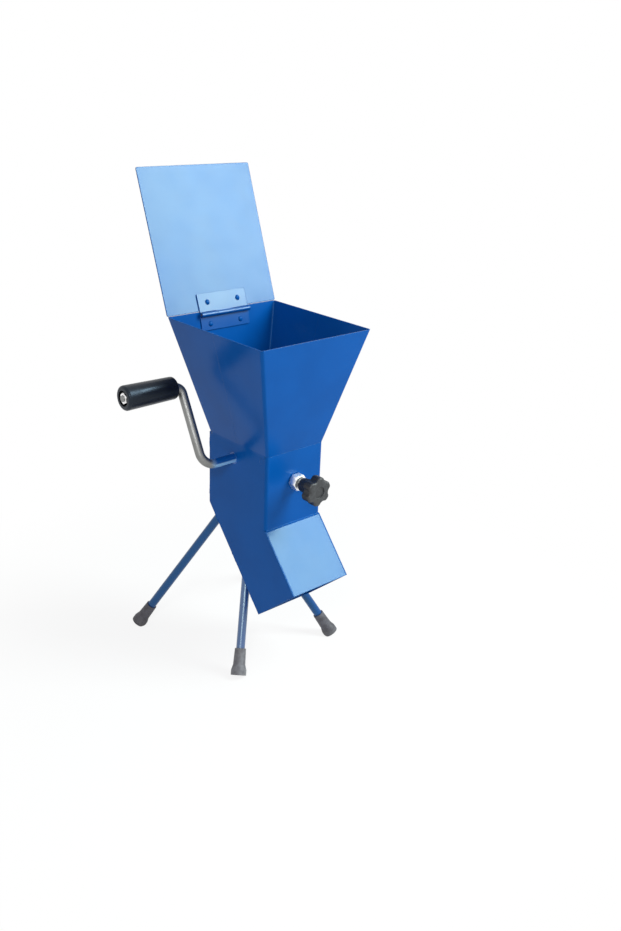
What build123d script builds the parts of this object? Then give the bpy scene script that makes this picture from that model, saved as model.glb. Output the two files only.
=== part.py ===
from build123d import *
from math import atan2, cos, radians, sin
import os

# Hand-cranked hazelnut cracker of folded sheet steel on four rod legs.
# Millimetres. The floor is z = 0, the front is -Y, the crank is on the -X side.
# The origin is on the floor under the middle of the housing.

# Sheet and fits
SHEET = 1.5
FOLD_R = 4.0
RUN_FIT = 0.05
SLIP_FIT = 0.05
SEAT_GAP = 0.3

# Hopper
RIM_WIDTH = 180.0
RIM_DEPTH = 190.0
RIM_HEIGHT = 468.0
HOPPER_HEIGHT = 154.0

# Housing and chute
BOX_WIDTH = 96.0
BOX_DEPTH = 120.0
BOX_HEIGHT = 104.0
CHUTE_ANGLE = 49.5
CHUTE_TOP_LENGTH = 92.0

# Crank, a bent round bar
BAR_R = 6.0
SHAFT_DROP = 22.0
SHAFT_STICK_OUT = 5.0
SHAFT_CHAMFER = 1.0
ARM_STAND_OFF = 49.0
ARM_LENGTH = 107.0
ARM_LEAN = 27.0
SHAFT_BEND_R = 18.0
SPINDLE_BEND_R = 10.0

# Grip on the crank's spindle
GRIP_LENGTH = 75.0
GRIP_INNER_R = 14.6
GRIP_OUTER_R = 16.0
GRIP_ROUND = 3.5
GRIP_END_GAP = 0.5
GRIP_RECESS_R = 10.0
GRIP_RECESS_DEPTH = 8.0
STUD_R = 4.0
STUD_PROUD = 1.3
WASHER_R = 8.5
WASHER_THICK = 1.5
GRIP_NUT_FLATS = 13.0
GRIP_NUT_THICK = 6.0

# Shaft bushes in the side walls
BUSH_R = 8.0
BUSH_FLANGE_R = 12.0
BUSH_FLANGE_THICK = 2.0

# Fluted roller and its cross pin
ROLLER_R = 30.0
ROLLER_SIDE_PLAY = 0.5
FLUTE_COUNT = 20
FLUTE_R = 3.2
FLUTE_CENTRE_OUT = 0.5
ROLLER_PIN_R = 3.0
ROLLER_PIN_INSET = 15.0
ROLLER_PIN_SUNK = 2.0

# Swinging jaw with ribs across its face
JAW_LEAN = 15.9
JAW_TOP_CLEAR = 1.0
JAW_WALL_CLEAR = 2.5
JAW_SIDE_PLAY = 1.0
JAW_BARREL_R = 7.0
JAW_PIN_R = 4.0
JAW_THICK = 6.0
JAW_LENGTH = 62.0
RIB_HEIGHT = 2.0
RIB_PITCH = 6.0
RIB_COUNT = 8
RIB_START = 9.0
CRACK_GAP = 13.0

# Adjusting screw, its threaded bush, pad and knob
SCREW_DROP = 35.0
SCREW_R = 5.0
SCREW_IN_KNOB = 20.0
NOSE_R = 3.0
NOSE_LENGTH = 6.0
BUSH_COLLAR_R = 9.0
BUSH_COLLAR_THICK = 1.5
BUSH_HEX_FLATS = 20.0
BUSH_HEX_THICK = 11.0
BUSH_SHANK_R = 7.0
BUSH_NUT_FLATS = 21.0
BUSH_NUT_THICK = 5.0
PAD_R = 9.0
PAD_DOME_R = 12.0
PAD_BODY = 5.4
KNOB_STAND_OFF = 17.0
KNOB_HUB_LENGTH = 17.0
KNOB_HUB_R = 9.0
KNOB_HUB_HEAD_R = 11.5
KNOB_R = 19.5
KNOB_THICK = 15.0
KNOB_EDGE_R = 2.5
KNOB_LOBES = 6
KNOB_LOBE_R = 4.0
KNOB_FLUTE_R = 7.0
KNOB_FLUTE_DEPTH = 3.5
KNOB_FLUTE_TURN = 51.0
KNOB_DISH_R = 8.0
KNOB_DISH_DEPTH = 1.5

# Sheet behind the roller
DEFLECTOR_LENGTH = 50.0
DEFLECTOR_SLOPE = 40.0
DEFLECTOR_GAP = 2.0
DEFLECTOR_ANGLE = 80.0
DEFLECTOR_SIDE_GAP = 0.5
DEFLECTOR_FOLD_R = 2.5

# Lid and butt hinge
LID_LENGTH = 189.0
LID_CORNER_R = 2.0
LID_LEAN = 20.0
LID_GAP = 0.3
HINGE_LENGTH = 80.0
HINGE_SHEET = 1.4
HINGE_PIN_R = 1.8
HINGE_MIDDLE = 28.0
HINGE_SIDE_GAP = 0.4
HINGE_LEAF_CLEAR = 0.4
LID_LEAF_LENGTH = 28.0
WALL_LEAF_LENGTH = 21.0
LEAF_CORNER_R = 2.0
RIVET_R = 2.0
RIVET_SPREAD = 50.0
RIVET_HEAD_R = 3.6
RIVET_HEAD_THICK = 1.8
RIVET_TAIL_R = 3.0
RIVET_TAIL_THICK = 1.2
LID_RIVET_OUT = 16.0
WALL_RIVET_OUT = 13.0

# Legs and rubber caps
LEG_R = 6.0
FRONT_FOOT = (88.0, -58.0)
FRONT_TOP = (13.0, 15.0)
REAR_FOOT = (118.0, 143.0)
REAR_TOP = (27.0, 50.0)
CAP_LENGTH = 36.0
CAP_TOP_R = 7.6
CAP_WAIST_R = 8.4
CAP_FOOT_R = 10.5
CAP_FOOT_THICK = 7.0
CAP_FLOOR_THICK = 6.0
CAP_END_HEIGHT = 3.0

# Places worked out from the sizes above
NECK_Z = RIM_HEIGHT - HOPPER_HEIGHT
BEND_Z = NECK_Z - BOX_HEIGHT
INNER_WIDTH = BOX_WIDTH - 2 * SHEET
WALL_IN_X = INNER_WIDTH / 2
FRONT_Y = -BOX_DEPTH / 2
BACK_Y = BOX_DEPTH / 2
SLOPE = radians(CHUTE_ANGLE)
CHUTE_FLOOR_LENGTH = CHUTE_TOP_LENGTH + BOX_DEPTH * cos(SLOPE)
FRONT_BEND = (FRONT_Y, BEND_Z)
BACK_BEND = (BACK_Y, BEND_Z)
MOUTH_TOP = (FRONT_Y - CHUTE_TOP_LENGTH * cos(SLOPE), BEND_Z - CHUTE_TOP_LENGTH * sin(SLOPE))
MOUTH_LOW = (BACK_Y - CHUTE_FLOOR_LENGTH * cos(SLOPE), BEND_Z - CHUTE_FLOOR_LENGTH * sin(SLOPE))
CHUTE_UNDERSIDE = Plane(origin=(0, *BACK_BEND), x_dir=(1, 0, 0), z_dir=(0, sin(SLOPE), -cos(SLOPE)))

# The jaw's pin is just under the neck and behind the front wall
JAW_Y = FRONT_Y + SHEET + JAW_WALL_CLEAR + JAW_BARREL_R
JAW_Z = NECK_Z - JAW_TOP_CLEAR - JAW_BARREL_R
TILT = radians(JAW_LEAN)
JAW_WIDTH = INNER_WIDTH - 2 * JAW_SIDE_PLAY
JAW_PLANE = Plane(
    origin=(-JAW_WIDTH / 2, JAW_Y, JAW_Z),
    x_dir=(0, cos(TILT), sin(TILT)),
    z_dir=(1, 0, 0),
)

# The shaft lies where CRACK_GAP is left between the roller and the jaw's ribs
SHAFT_Z = NECK_Z - SHAFT_DROP
JAW_REACH = ROLLER_R + CRACK_GAP + JAW_THICK + RIB_HEIGHT
SHAFT_Y = JAW_Y + (JAW_REACH + (JAW_Z - SHAFT_Z) * sin(TILT)) / cos(TILT)

# The pad's dome just clears the jaw's back, which runs through the jaw's pin
SCREW_Z = JAW_Z - SCREW_DROP
DOME_Y = JAW_Y + (SCREW_DROP * sin(TILT) - PAD_DOME_R - SEAT_GAP) / cos(TILT)
DOME_EDGE_Y = DOME_Y + (PAD_DOME_R**2 - PAD_R**2) ** 0.5
PAD_BACK_Y = DOME_EDGE_Y - PAD_BODY
SCREW_SHOULDER_Y = PAD_BACK_Y - SEAT_GAP
NOSE_TIP_Y = SCREW_SHOULDER_Y + NOSE_LENGTH
KNOB_Y = FRONT_Y - KNOB_STAND_OFF
SCREW_AXIS = Axis((0, 0, SCREW_Z), (0, 1, 0))

ARM_X = -BOX_WIDTH / 2 - ARM_STAND_OFF
LEAN = radians(ARM_LEAN)
GRIP_Y = SHAFT_Y + ARM_LENGTH * sin(LEAN)
GRIP_Z = SHAFT_Z + ARM_LENGTH * cos(LEAN)
GRIP_IN_X = ARM_X - SPINDLE_BEND_R - GRIP_END_GAP
GRIP_OUT_X = GRIP_IN_X - GRIP_LENGTH
SHOULDER_X = GRIP_OUT_X + GRIP_RECESS_DEPTH - SEAT_GAP
GRIP_AXIS = Axis((0, GRIP_Y, GRIP_Z), (-1, 0, 0))

ROLLER_LENGTH = INNER_WIDTH - 2 * (BUSH_FLANGE_THICK + ROLLER_SIDE_PLAY)
FLUTE_FLOOR_R = ROLLER_R + FLUTE_CENTRE_OUT - FLUTE_R
PIN_X = -ROLLER_LENGTH / 2 + ROLLER_PIN_INSET
PIN_PLANE = Plane(origin=(PIN_X, SHAFT_Y, SHAFT_Z), x_dir=(1, 0, 0), z_dir=(0, 1, 0))

# The hinge pin lies one knuckle under the closed lid and lets the open lid's leaf clear the rim
KNUCKLE_BORE_R = HINGE_PIN_R + RUN_FIT
KNUCKLE_R = KNUCKLE_BORE_R + HINGE_SHEET
FLARE = atan2((RIM_DEPTH - BOX_DEPTH) / 2, HOPPER_HEIGHT)
HINGE_Z = RIM_HEIGHT + LID_GAP - KNUCKLE_R
HINGE_DROP = RIM_HEIGHT - HINGE_Z
OPEN = radians(LID_LEAN)
HINGE_IN = (KNUCKLE_R + SEAT_GAP + HINGE_DROP * sin(OPEN)) / cos(OPEN)
HINGE_Y = RIM_DEPTH / 2 - SHEET - HINGE_IN
WALL_SEAT = HINGE_IN * cos(FLARE) - HINGE_DROP * sin(FLARE)
LID_REAR = (HINGE_DROP + SEAT_GAP + (KNUCKLE_R + SHEET) * sin(OPEN)) / cos(OPEN)
LID_PLANE = Plane(
    origin=(0, HINGE_Y, HINGE_Z),
    x_dir=(1, 0, 0),
    z_dir=(0, -cos(OPEN), sin(OPEN)),
)
WALL_PLANE = Plane(
    origin=(0, HINGE_Y, HINGE_Z),
    x_dir=(-1, 0, 0),
    z_dir=(0, -cos(FLARE), sin(FLARE)),
)


def save(piece, label):
    """Name a finished piece and write it."""
    piece.part.label = label
    export_step(piece.part, f"parts/{label}.step")


def rivet_places(out):
    """Give the two rivet centres of a hinge leaf, on the leaf's own plane."""
    return [(-RIVET_SPREAD / 2, out), (RIVET_SPREAD / 2, out)]


def hopper_half(keep):
    """Fold one half of the flared hopper, cut at the middle of its sides."""
    with BuildPart() as half:
        for inset, mode in ((0, Mode.ADD), (SHEET, Mode.SUBTRACT)):
            with BuildSketch(Plane.XY.offset(NECK_Z)):
                RectangleRounded(BOX_WIDTH - 2 * inset, BOX_DEPTH - 2 * inset, FOLD_R - inset)
            with BuildSketch(Plane.XY.offset(RIM_HEIGHT)):
                RectangleRounded(RIM_WIDTH - 2 * inset, RIM_DEPTH - 2 * inset, FOLD_R - inset)
            loft(ruled=True, mode=mode)
        split(bisect_by=Plane.XZ, keep=keep)
        if keep == Keep.BOTTOM:
            with BuildSketch(WALL_PLANE):
                with Locations(*rivet_places(WALL_RIVET_OUT)):
                    Circle(RIVET_R + SLIP_FIT)
            extrude(amount=-WALL_SEAT - 2 * SHEET, mode=Mode.SUBTRACT)
    return half


def hinge_leaf(plane, seat_out, length, rivet_out, knuckles):
    """Roll one hinge leaf: a plate on its seat, and knuckles round the pin from start to end along x."""
    plate_start = KNUCKLE_R + HINGE_LEAF_CLEAR
    seat = plane.offset(-seat_out)
    with BuildPart() as leaf:
        with BuildSketch(seat) as plate:
            with Locations((0, (plate_start + length) / 2)):
                Rectangle(HINGE_LENGTH, length - plate_start)
            fillet(plate.vertices().group_by(Axis.Y)[-1], LEAF_CORNER_R)
            for start, end in knuckles:
                with Locations(((start + end) / 2, plate_start / 2)):
                    Rectangle(end - start, plate_start)
        extrude(amount=HINGE_SHEET)
        for start, end in knuckles:
            knuckle_end = plane.from_local_coords((start, 0, 0))
            with BuildSketch(Plane(origin=knuckle_end, x_dir=plane.y_dir, z_dir=plane.x_dir)):
                Circle(KNUCKLE_R)
                Circle(KNUCKLE_BORE_R, mode=Mode.SUBTRACT)
            extrude(amount=end - start)
        with BuildSketch(seat):
            with Locations(*rivet_places(rivet_out)):
                Circle(RIVET_R + SLIP_FIT)
        extrude(amount=HINGE_SHEET, mode=Mode.SUBTRACT)
    return leaf


def hinge_rivets(plane, seat_out, out):
    """Make the two rivets of a leaf: domed head on the leaf, shank, and a flat tail behind the sheet."""
    head_base = -seat_out + HINGE_SHEET
    dome_r = (RIVET_HEAD_R**2 + RIVET_HEAD_THICK**2) / (2 * RIVET_HEAD_THICK)
    tail_base = -seat_out - SHEET
    with BuildPart() as rivets:
        for x, y in rivet_places(out):
            centre = plane.from_local_coords((x, y, 0))
            with BuildSketch(Plane(origin=centre, x_dir=plane.x_dir, z_dir=-plane.y_dir)):
                with BuildLine():
                    Polyline(
                        (0, head_base + RIVET_HEAD_THICK),
                        (0, tail_base - RIVET_TAIL_THICK),
                        (RIVET_TAIL_R, tail_base - RIVET_TAIL_THICK),
                        (RIVET_TAIL_R, tail_base),
                        (RIVET_R, tail_base),
                        (RIVET_R, head_base),
                        (RIVET_HEAD_R, head_base),
                    )
                    RadiusArc((RIVET_HEAD_R, head_base), (0, head_base + RIVET_HEAD_THICK), -dome_r)
                make_face()
            revolve(axis=Axis(centre, plane.z_dir))
    return rivets


def leg_frame(foot, top, side):
    """Give a leg's foot on the floor, its top on the chute's underside and its direction upwards."""
    low = Vector(side * foot[0], foot[1], 0)
    top_z = BEND_Z - (BACK_Y - top[1]) * sin(SLOPE) / cos(SLOPE)
    high = Vector(side * top[0], top[1], top_z)
    return low, high, (high - low).normalized()


def leg_rod(foot, top, side):
    """Cut one leg rod, its top mitred to lie on the chute's underside."""
    low, high, up = leg_frame(foot, top, side)
    start = low + up * ((CAP_END_HEIGHT / up.Z) + CAP_FLOOR_THICK)
    with BuildPart() as rod:
        with BuildSketch(Plane(origin=start, z_dir=up)):
            Circle(LEG_R)
        extrude(amount=(high - start).length + 4 * LEG_R)
        split(bisect_by=CHUTE_UNDERSIDE, keep=Keep.TOP)
    return rod


def foot_cap(foot, top, side):
    """Turn one flared rubber cap on its leg and cut it flat where it meets the floor."""
    low, high, up = leg_frame(foot, top, side)
    end = low + up * (CAP_END_HEIGHT / up.Z)
    level = Vector(0, 0, 1).cross(up).normalized()
    with BuildPart() as cap:
        with BuildSketch(Plane(origin=end, x_dir=level, z_dir=level.cross(up))):
            with BuildLine():
                Polyline(
                    (CAP_TOP_R, CAP_LENGTH),
                    (LEG_R + SLIP_FIT, CAP_LENGTH),
                    (LEG_R + SLIP_FIT, CAP_FLOOR_THICK),
                    (0, CAP_FLOOR_THICK),
                    (0, 0),
                    (CAP_FOOT_R, 0),
                    (CAP_FOOT_R, CAP_FOOT_THICK),
                    (CAP_WAIST_R, CAP_FOOT_THICK * 2),
                    (CAP_TOP_R, CAP_LENGTH),
                )
            make_face()
        revolve(axis=Axis(end, up))
        split(bisect_by=Plane.XY, keep=Keep.TOP)
    return cap


def shaft_bush(side):
    """Turn one flanged bush, its flange on the inside of the side wall."""
    centre = (side * WALL_IN_X, SHAFT_Y, SHAFT_Z)
    wall_face = Plane(origin=centre, x_dir=(0, 1, 0), z_dir=(-side, 0, 0))
    with BuildPart() as bush:
        with BuildSketch(wall_face):
            Circle(BUSH_FLANGE_R)
        extrude(amount=BUSH_FLANGE_THICK)
        with BuildSketch(wall_face):
            Circle(BUSH_R)
        extrude(amount=-SHEET)
        with BuildSketch(wall_face):
            Circle(BAR_R + RUN_FIT)
        extrude(amount=BUSH_FLANGE_THICK + SHEET, both=True, mode=Mode.SUBTRACT)
    return bush


os.makedirs("parts", exist_ok=True)

# Hopper
save(hopper_half(Keep.TOP), "hopper_front_half")
save(hopper_half(Keep.BOTTOM), "hopper_back_half")

# Housing: front wall and sides folded from one sheet, the sides running on down the chute
with BuildPart() as housing:
    with BuildSketch(Plane.XY.offset(BEND_Z)):
        with BuildLine():
            FilletPolyline(
                (-BOX_WIDTH / 2, BACK_Y),
                (-BOX_WIDTH / 2, FRONT_Y),
                (BOX_WIDTH / 2, FRONT_Y),
                (BOX_WIDTH / 2, BACK_Y),
                radius=FOLD_R,
            )
            offset(amount=SHEET, side=Side.LEFT)
        make_face()
    extrude(amount=BOX_HEIGHT)
    for half_width, mode in ((BOX_WIDTH / 2, Mode.ADD), (WALL_IN_X, Mode.SUBTRACT)):
        with BuildSketch(Plane.YZ):
            with BuildLine():
                Polyline(FRONT_BEND, BACK_BEND, MOUTH_LOW, MOUTH_TOP, close=True)
            make_face()
        extrude(amount=half_width, both=True, mode=mode)
    with BuildSketch(Plane.YZ):
        with Locations((SHAFT_Y, SHAFT_Z)):
            Circle(BUSH_R + SLIP_FIT)
        with Locations((JAW_Y, JAW_Z)):
            Circle(JAW_PIN_R + SLIP_FIT)
    extrude(amount=BOX_WIDTH, both=True, mode=Mode.SUBTRACT)
    with BuildSketch(Plane.XZ.offset(-FRONT_Y)):
        with Locations((0, SCREW_Z)):
            Circle(BUSH_SHANK_R + SLIP_FIT)
    extrude(amount=-2 * SHEET, mode=Mode.SUBTRACT)
save(housing, "housing")

# Back wall and chute floor, one folded sheet between the housing's sides
with BuildPart() as back_plate:
    with BuildSketch(Plane.YZ):
        with BuildLine():
            FilletPolyline((BACK_Y, NECK_Z), BACK_BEND, MOUTH_LOW, radius=FOLD_R)
            offset(amount=SHEET, side=Side.RIGHT)
        make_face()
    extrude(amount=WALL_IN_X, both=True)
save(back_plate, "back_plate")

# Sheet over the chute, mitred under the front wall
with BuildPart() as chute_cover:
    with BuildSketch(Plane.YZ):
        with BuildLine():
            Polyline(
                FRONT_BEND,
                (FRONT_Y + SHEET / sin(SLOPE), BEND_Z),
                (MOUTH_TOP[0] + SHEET * sin(SLOPE), MOUTH_TOP[1] - SHEET * cos(SLOPE)),
                MOUTH_TOP,
                close=True,
            )
        make_face()
    extrude(amount=WALL_IN_X, both=True)
save(chute_cover, "chute_cover")

# Deflector welded to the back wall, a strip folded where its slope from the roller meets the wall
LIP_R = ROLLER_R + DEFLECTOR_GAP
LIP_TURN = radians(DEFLECTOR_ANGLE)
LIP_SLOPE = radians(DEFLECTOR_SLOPE)
DEFLECTOR_LIP = (SHAFT_Y + LIP_R * sin(LIP_TURN), SHAFT_Z + LIP_R * cos(LIP_TURN))
SLOPE_LENGTH = (BACK_Y - SHEET - DEFLECTOR_LIP[0]) / cos(LIP_SLOPE)
DEFLECTOR_FOLD_Z = DEFLECTOR_LIP[1] + SLOPE_LENGTH * sin(LIP_SLOPE)
with BuildPart() as rear_deflector:
    with BuildSketch(Plane.YZ):
        with BuildLine():
            FilletPolyline(
                (BACK_Y - SHEET, DEFLECTOR_FOLD_Z - DEFLECTOR_LENGTH + SLOPE_LENGTH),
                (BACK_Y - SHEET, DEFLECTOR_FOLD_Z),
                DEFLECTOR_LIP,
                radius=DEFLECTOR_FOLD_R,
            )
            offset(amount=SHEET, side=Side.LEFT)
        make_face()
    extrude(amount=WALL_IN_X - DEFLECTOR_SIDE_GAP, both=True)
save(rear_deflector, "rear_deflector")

# Shaft bushes
save(shaft_bush(-1), "shaft_bush_left")
save(shaft_bush(1), "shaft_bush_right")

# Crank: shaft, arm and spindle bent from one bar, with a threaded stud at the spindle's end
SHAFT_END = (BOX_WIDTH / 2 + SHAFT_STICK_OUT, SHAFT_Y, SHAFT_Z)
SPINDLE_END = (SHOULDER_X, GRIP_Y, GRIP_Z)
STUD_LENGTH = SHOULDER_X - GRIP_OUT_X + STUD_PROUD
with BuildPart() as crank_bar:
    with BuildLine():
        FilletPolyline(
            SHAFT_END,
            (ARM_X, SHAFT_Y, SHAFT_Z),
            (ARM_X, GRIP_Y, GRIP_Z),
            SPINDLE_END,
            radius=[SHAFT_BEND_R, SPINDLE_BEND_R],
        )
    with BuildSketch(Plane(origin=SHAFT_END, z_dir=(-1, 0, 0))):
        Circle(BAR_R)
    sweep()
    with BuildSketch(Plane(origin=SPINDLE_END, z_dir=(-1, 0, 0))):
        Circle(STUD_R)
    extrude(amount=STUD_LENGTH)
    chamfer(crank_bar.edges().filter_by(GeomType.CIRCLE).sort_by(Axis.X)[-1], SHAFT_CHAMFER)
    with BuildSketch(PIN_PLANE):
        Circle(ROLLER_PIN_R + SLIP_FIT)
    extrude(amount=2 * BAR_R, both=True, mode=Mode.SUBTRACT)
save(crank_bar, "crank_bar")

# Grip, turned with a slight taper, a rounded rim and a recess for the nut
with BuildPart() as grip:
    with BuildSketch(Plane(origin=(GRIP_IN_X, GRIP_Y, GRIP_Z), x_dir=(-1, 0, 0), z_dir=(0, 0, -1))):
        with BuildLine():
            FilletPolyline(
                (0, BAR_R + RUN_FIT),
                (0, GRIP_INNER_R),
                (GRIP_LENGTH, GRIP_OUTER_R),
                (GRIP_LENGTH, GRIP_RECESS_R),
                radius=GRIP_ROUND,
            )
            Polyline(
                (GRIP_LENGTH, GRIP_RECESS_R),
                (GRIP_LENGTH - GRIP_RECESS_DEPTH, GRIP_RECESS_R),
                (GRIP_LENGTH - GRIP_RECESS_DEPTH, BAR_R + RUN_FIT),
                (0, BAR_R + RUN_FIT),
            )
        make_face()
    revolve(axis=GRIP_AXIS)
save(grip, "grip")

# Washer and nut that keep the grip on its spindle
with BuildPart() as grip_washer:
    with BuildSketch(Plane(origin=SPINDLE_END, z_dir=(-1, 0, 0))):
        Circle(WASHER_R)
        Circle(STUD_R + SLIP_FIT, mode=Mode.SUBTRACT)
    extrude(amount=WASHER_THICK)
save(grip_washer, "grip_washer")

with BuildPart() as grip_nut:
    with BuildSketch(Plane(origin=(SHOULDER_X - WASHER_THICK, GRIP_Y, GRIP_Z), z_dir=(-1, 0, 0))):
        RegularPolygon(GRIP_NUT_FLATS / 2, 6, major_radius=False)
        Circle(STUD_R + SLIP_FIT, mode=Mode.SUBTRACT)
    extrude(amount=GRIP_NUT_THICK)
save(grip_nut, "grip_nut")

# Cracking roller, fluted along its length, and the pin that drives it
with BuildPart() as roller:
    with BuildSketch(
        Plane(origin=(-ROLLER_LENGTH / 2, SHAFT_Y, SHAFT_Z), x_dir=(0, 1, 0), z_dir=(1, 0, 0))
    ):
        Circle(ROLLER_R)
        with PolarLocations(ROLLER_R + FLUTE_CENTRE_OUT, FLUTE_COUNT):
            Circle(FLUTE_R, mode=Mode.SUBTRACT)
        Circle(BAR_R + SLIP_FIT, mode=Mode.SUBTRACT)
    extrude(amount=ROLLER_LENGTH)
    with BuildSketch(PIN_PLANE):
        Circle(ROLLER_PIN_R + SLIP_FIT)
    extrude(amount=ROLLER_R, both=True, mode=Mode.SUBTRACT)
save(roller, "roller")

with BuildPart() as roller_pin:
    with BuildSketch(PIN_PLANE):
        Circle(ROLLER_PIN_R)
    extrude(amount=FLUTE_FLOOR_R - ROLLER_PIN_SUNK, both=True)
save(roller_pin, "roller_pin")

# Jaw: barrel round its pin, flat back, ribs across the cracking face
with BuildPart() as jaw:
    with BuildSketch(JAW_PLANE):
        with BuildLine():
            ribs = [(JAW_THICK, -RIB_START)]
            for rib in range(RIB_COUNT):
                top = RIB_START + rib * RIB_PITCH
                ribs.append((JAW_THICK + RIB_HEIGHT, -top - RIB_PITCH / 2))
                ribs.append((JAW_THICK, -top - RIB_PITCH))
            Polyline((0, 0), (JAW_THICK, 0), *ribs, (JAW_THICK, -JAW_LENGTH), (0, -JAW_LENGTH), close=True)
        make_face()
        Circle(JAW_BARREL_R)
        Circle(JAW_PIN_R + RUN_FIT, mode=Mode.SUBTRACT)
    extrude(amount=JAW_WIDTH)
save(jaw, "jaw")

with BuildPart() as jaw_pin:
    with BuildSketch(Plane.YZ):
        with Locations((JAW_Y, JAW_Z)):
            Circle(JAW_PIN_R)
    extrude(amount=BOX_WIDTH / 2, both=True)
save(jaw_pin, "jaw_pin")

# Threaded bush through the front wall, a hexagon on a round collar, and the nut behind it
BUSH_OUT = BUSH_COLLAR_THICK + BUSH_HEX_THICK
BUSH_IN = SHEET + BUSH_NUT_THICK
FRONT_FACE = Plane(origin=(0, FRONT_Y, SCREW_Z), x_dir=(1, 0, 0), z_dir=(0, -1, 0))
with BuildPart() as screw_bush:
    with BuildSketch(FRONT_FACE):
        Circle(BUSH_COLLAR_R)
    extrude(amount=BUSH_COLLAR_THICK)
    with BuildSketch(FRONT_FACE.offset(BUSH_COLLAR_THICK)):
        RegularPolygon(BUSH_HEX_FLATS / 2, 6, major_radius=False)
    extrude(amount=BUSH_HEX_THICK)
    with BuildSketch(FRONT_FACE):
        Circle(BUSH_SHANK_R)
    extrude(amount=-BUSH_IN)
    with BuildSketch(FRONT_FACE.offset(-BUSH_IN)):
        Circle(SCREW_R + RUN_FIT)
    extrude(amount=BUSH_IN + BUSH_OUT, mode=Mode.SUBTRACT)
save(screw_bush, "screw_bush")

with BuildPart() as bush_nut:
    with BuildSketch(FRONT_FACE.offset(-SHEET)):
        RegularPolygon(BUSH_NUT_FLATS / 2, 6, major_radius=False)
        Circle(BUSH_SHANK_R + SLIP_FIT, mode=Mode.SUBTRACT)
    extrude(amount=-BUSH_NUT_THICK)
save(bush_nut, "bush_nut")

# Thrust pad: a dome against the jaw, hollow behind for the screw's nose
with BuildPart() as thrust_pad:
    with BuildSketch(Plane(origin=(0, 0, SCREW_Z), x_dir=(0, 1, 0), z_dir=(1, 0, 0))):
        with BuildLine():
            Polyline(
                (DOME_Y + PAD_DOME_R, 0),
                (NOSE_TIP_Y + SEAT_GAP, 0),
                (NOSE_TIP_Y + SEAT_GAP, NOSE_R + RUN_FIT),
                (PAD_BACK_Y, NOSE_R + RUN_FIT),
                (PAD_BACK_Y, PAD_R),
                (DOME_EDGE_Y, PAD_R),
            )
            RadiusArc((DOME_EDGE_Y, PAD_R), (DOME_Y + PAD_DOME_R, 0), PAD_DOME_R)
        make_face()
    revolve(axis=SCREW_AXIS)
save(thrust_pad, "thrust_pad")

# Adjusting screw with its turned nose
with BuildPart() as adjusting_screw:
    with BuildSketch(Plane.XZ.offset(-SCREW_SHOULDER_Y)):
        with Locations((0, SCREW_Z)):
            Circle(SCREW_R)
    extrude(amount=SCREW_SHOULDER_Y - KNOB_Y + SCREW_IN_KNOB)
    with BuildSketch(Plane.XZ.offset(-SCREW_SHOULDER_Y)):
        with Locations((0, SCREW_Z)):
            Circle(NOSE_R)
    extrude(amount=-NOSE_LENGTH)
save(adjusting_screw, "adjusting_screw")

# Knob: a lobed head with rounded edges and a dished face, on a tapered hub bored for the screw
HEAD_FACE = KNOB_HUB_LENGTH + KNOB_THICK
FLUTE_OUT = KNOB_R - KNOB_FLUTE_DEPTH + KNOB_FLUTE_R
KNOB_PLANE = Plane(origin=(0, KNOB_Y, SCREW_Z), x_dir=(1, 0, 0), z_dir=(0, -1, 0))
with BuildPart() as knob:
    with BuildSketch(KNOB_PLANE.offset(KNOB_HUB_LENGTH)) as lobed_head:
        Circle(KNOB_R)
        with PolarLocations(FLUTE_OUT, KNOB_LOBES, KNOB_FLUTE_TURN):
            Circle(KNOB_FLUTE_R, mode=Mode.SUBTRACT)
        fillet(lobed_head.vertices(), KNOB_LOBE_R)
    extrude(amount=KNOB_THICK)
    rim = knob.faces().filter_by(Axis.Y).edges()
    fillet(rim, KNOB_EDGE_R)
    with BuildSketch(KNOB_PLANE):
        Circle(KNOB_HUB_R)
    with BuildSketch(KNOB_PLANE.offset(KNOB_HUB_LENGTH)):
        Circle(KNOB_HUB_HEAD_R)
    loft()
    with BuildSketch(KNOB_PLANE):
        Circle(SCREW_R + SLIP_FIT)
    extrude(amount=SCREW_IN_KNOB, mode=Mode.SUBTRACT)
    with BuildSketch(KNOB_PLANE.offset(HEAD_FACE)):
        Circle(KNOB_DISH_R)
    extrude(amount=-KNOB_DISH_DEPTH, mode=Mode.SUBTRACT)
save(knob, "knob")

# Lid, standing open against its stop
with BuildPart() as lid:
    with BuildSketch(LID_PLANE.offset(-KNUCKLE_R - SHEET)) as lid_sheet:
        with Locations((0, LID_REAR + LID_LENGTH / 2)):
            RectangleRounded(RIM_WIDTH, LID_LENGTH, LID_CORNER_R)
    extrude(amount=SHEET)
    with BuildSketch(LID_PLANE.offset(-KNUCKLE_R)):
        with Locations(*rivet_places(LID_RIVET_OUT)):
            Circle(RIVET_R + SLIP_FIT)
    extrude(amount=-SHEET, mode=Mode.SUBTRACT)
save(lid, "lid")

# Butt hinge: the wall leaf has the two outer knuckles, the lid leaf the middle one
KNUCKLE_EDGE = HINGE_MIDDLE / 2 + HINGE_SIDE_GAP
OUTER_KNUCKLES = [(-HINGE_LENGTH / 2, -KNUCKLE_EDGE), (KNUCKLE_EDGE, HINGE_LENGTH / 2)]
MIDDLE_KNUCKLE = [(-HINGE_MIDDLE / 2, HINGE_MIDDLE / 2)]
lid_leaf = hinge_leaf(LID_PLANE, KNUCKLE_R, LID_LEAF_LENGTH, LID_RIVET_OUT, MIDDLE_KNUCKLE)
wall_leaf = hinge_leaf(WALL_PLANE, WALL_SEAT, WALL_LEAF_LENGTH, WALL_RIVET_OUT, OUTER_KNUCKLES)
save(lid_leaf, "hinge_lid_leaf")
save(wall_leaf, "hinge_wall_leaf")
save(hinge_rivets(LID_PLANE, KNUCKLE_R, LID_RIVET_OUT), "hinge_lid_rivets")
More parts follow.
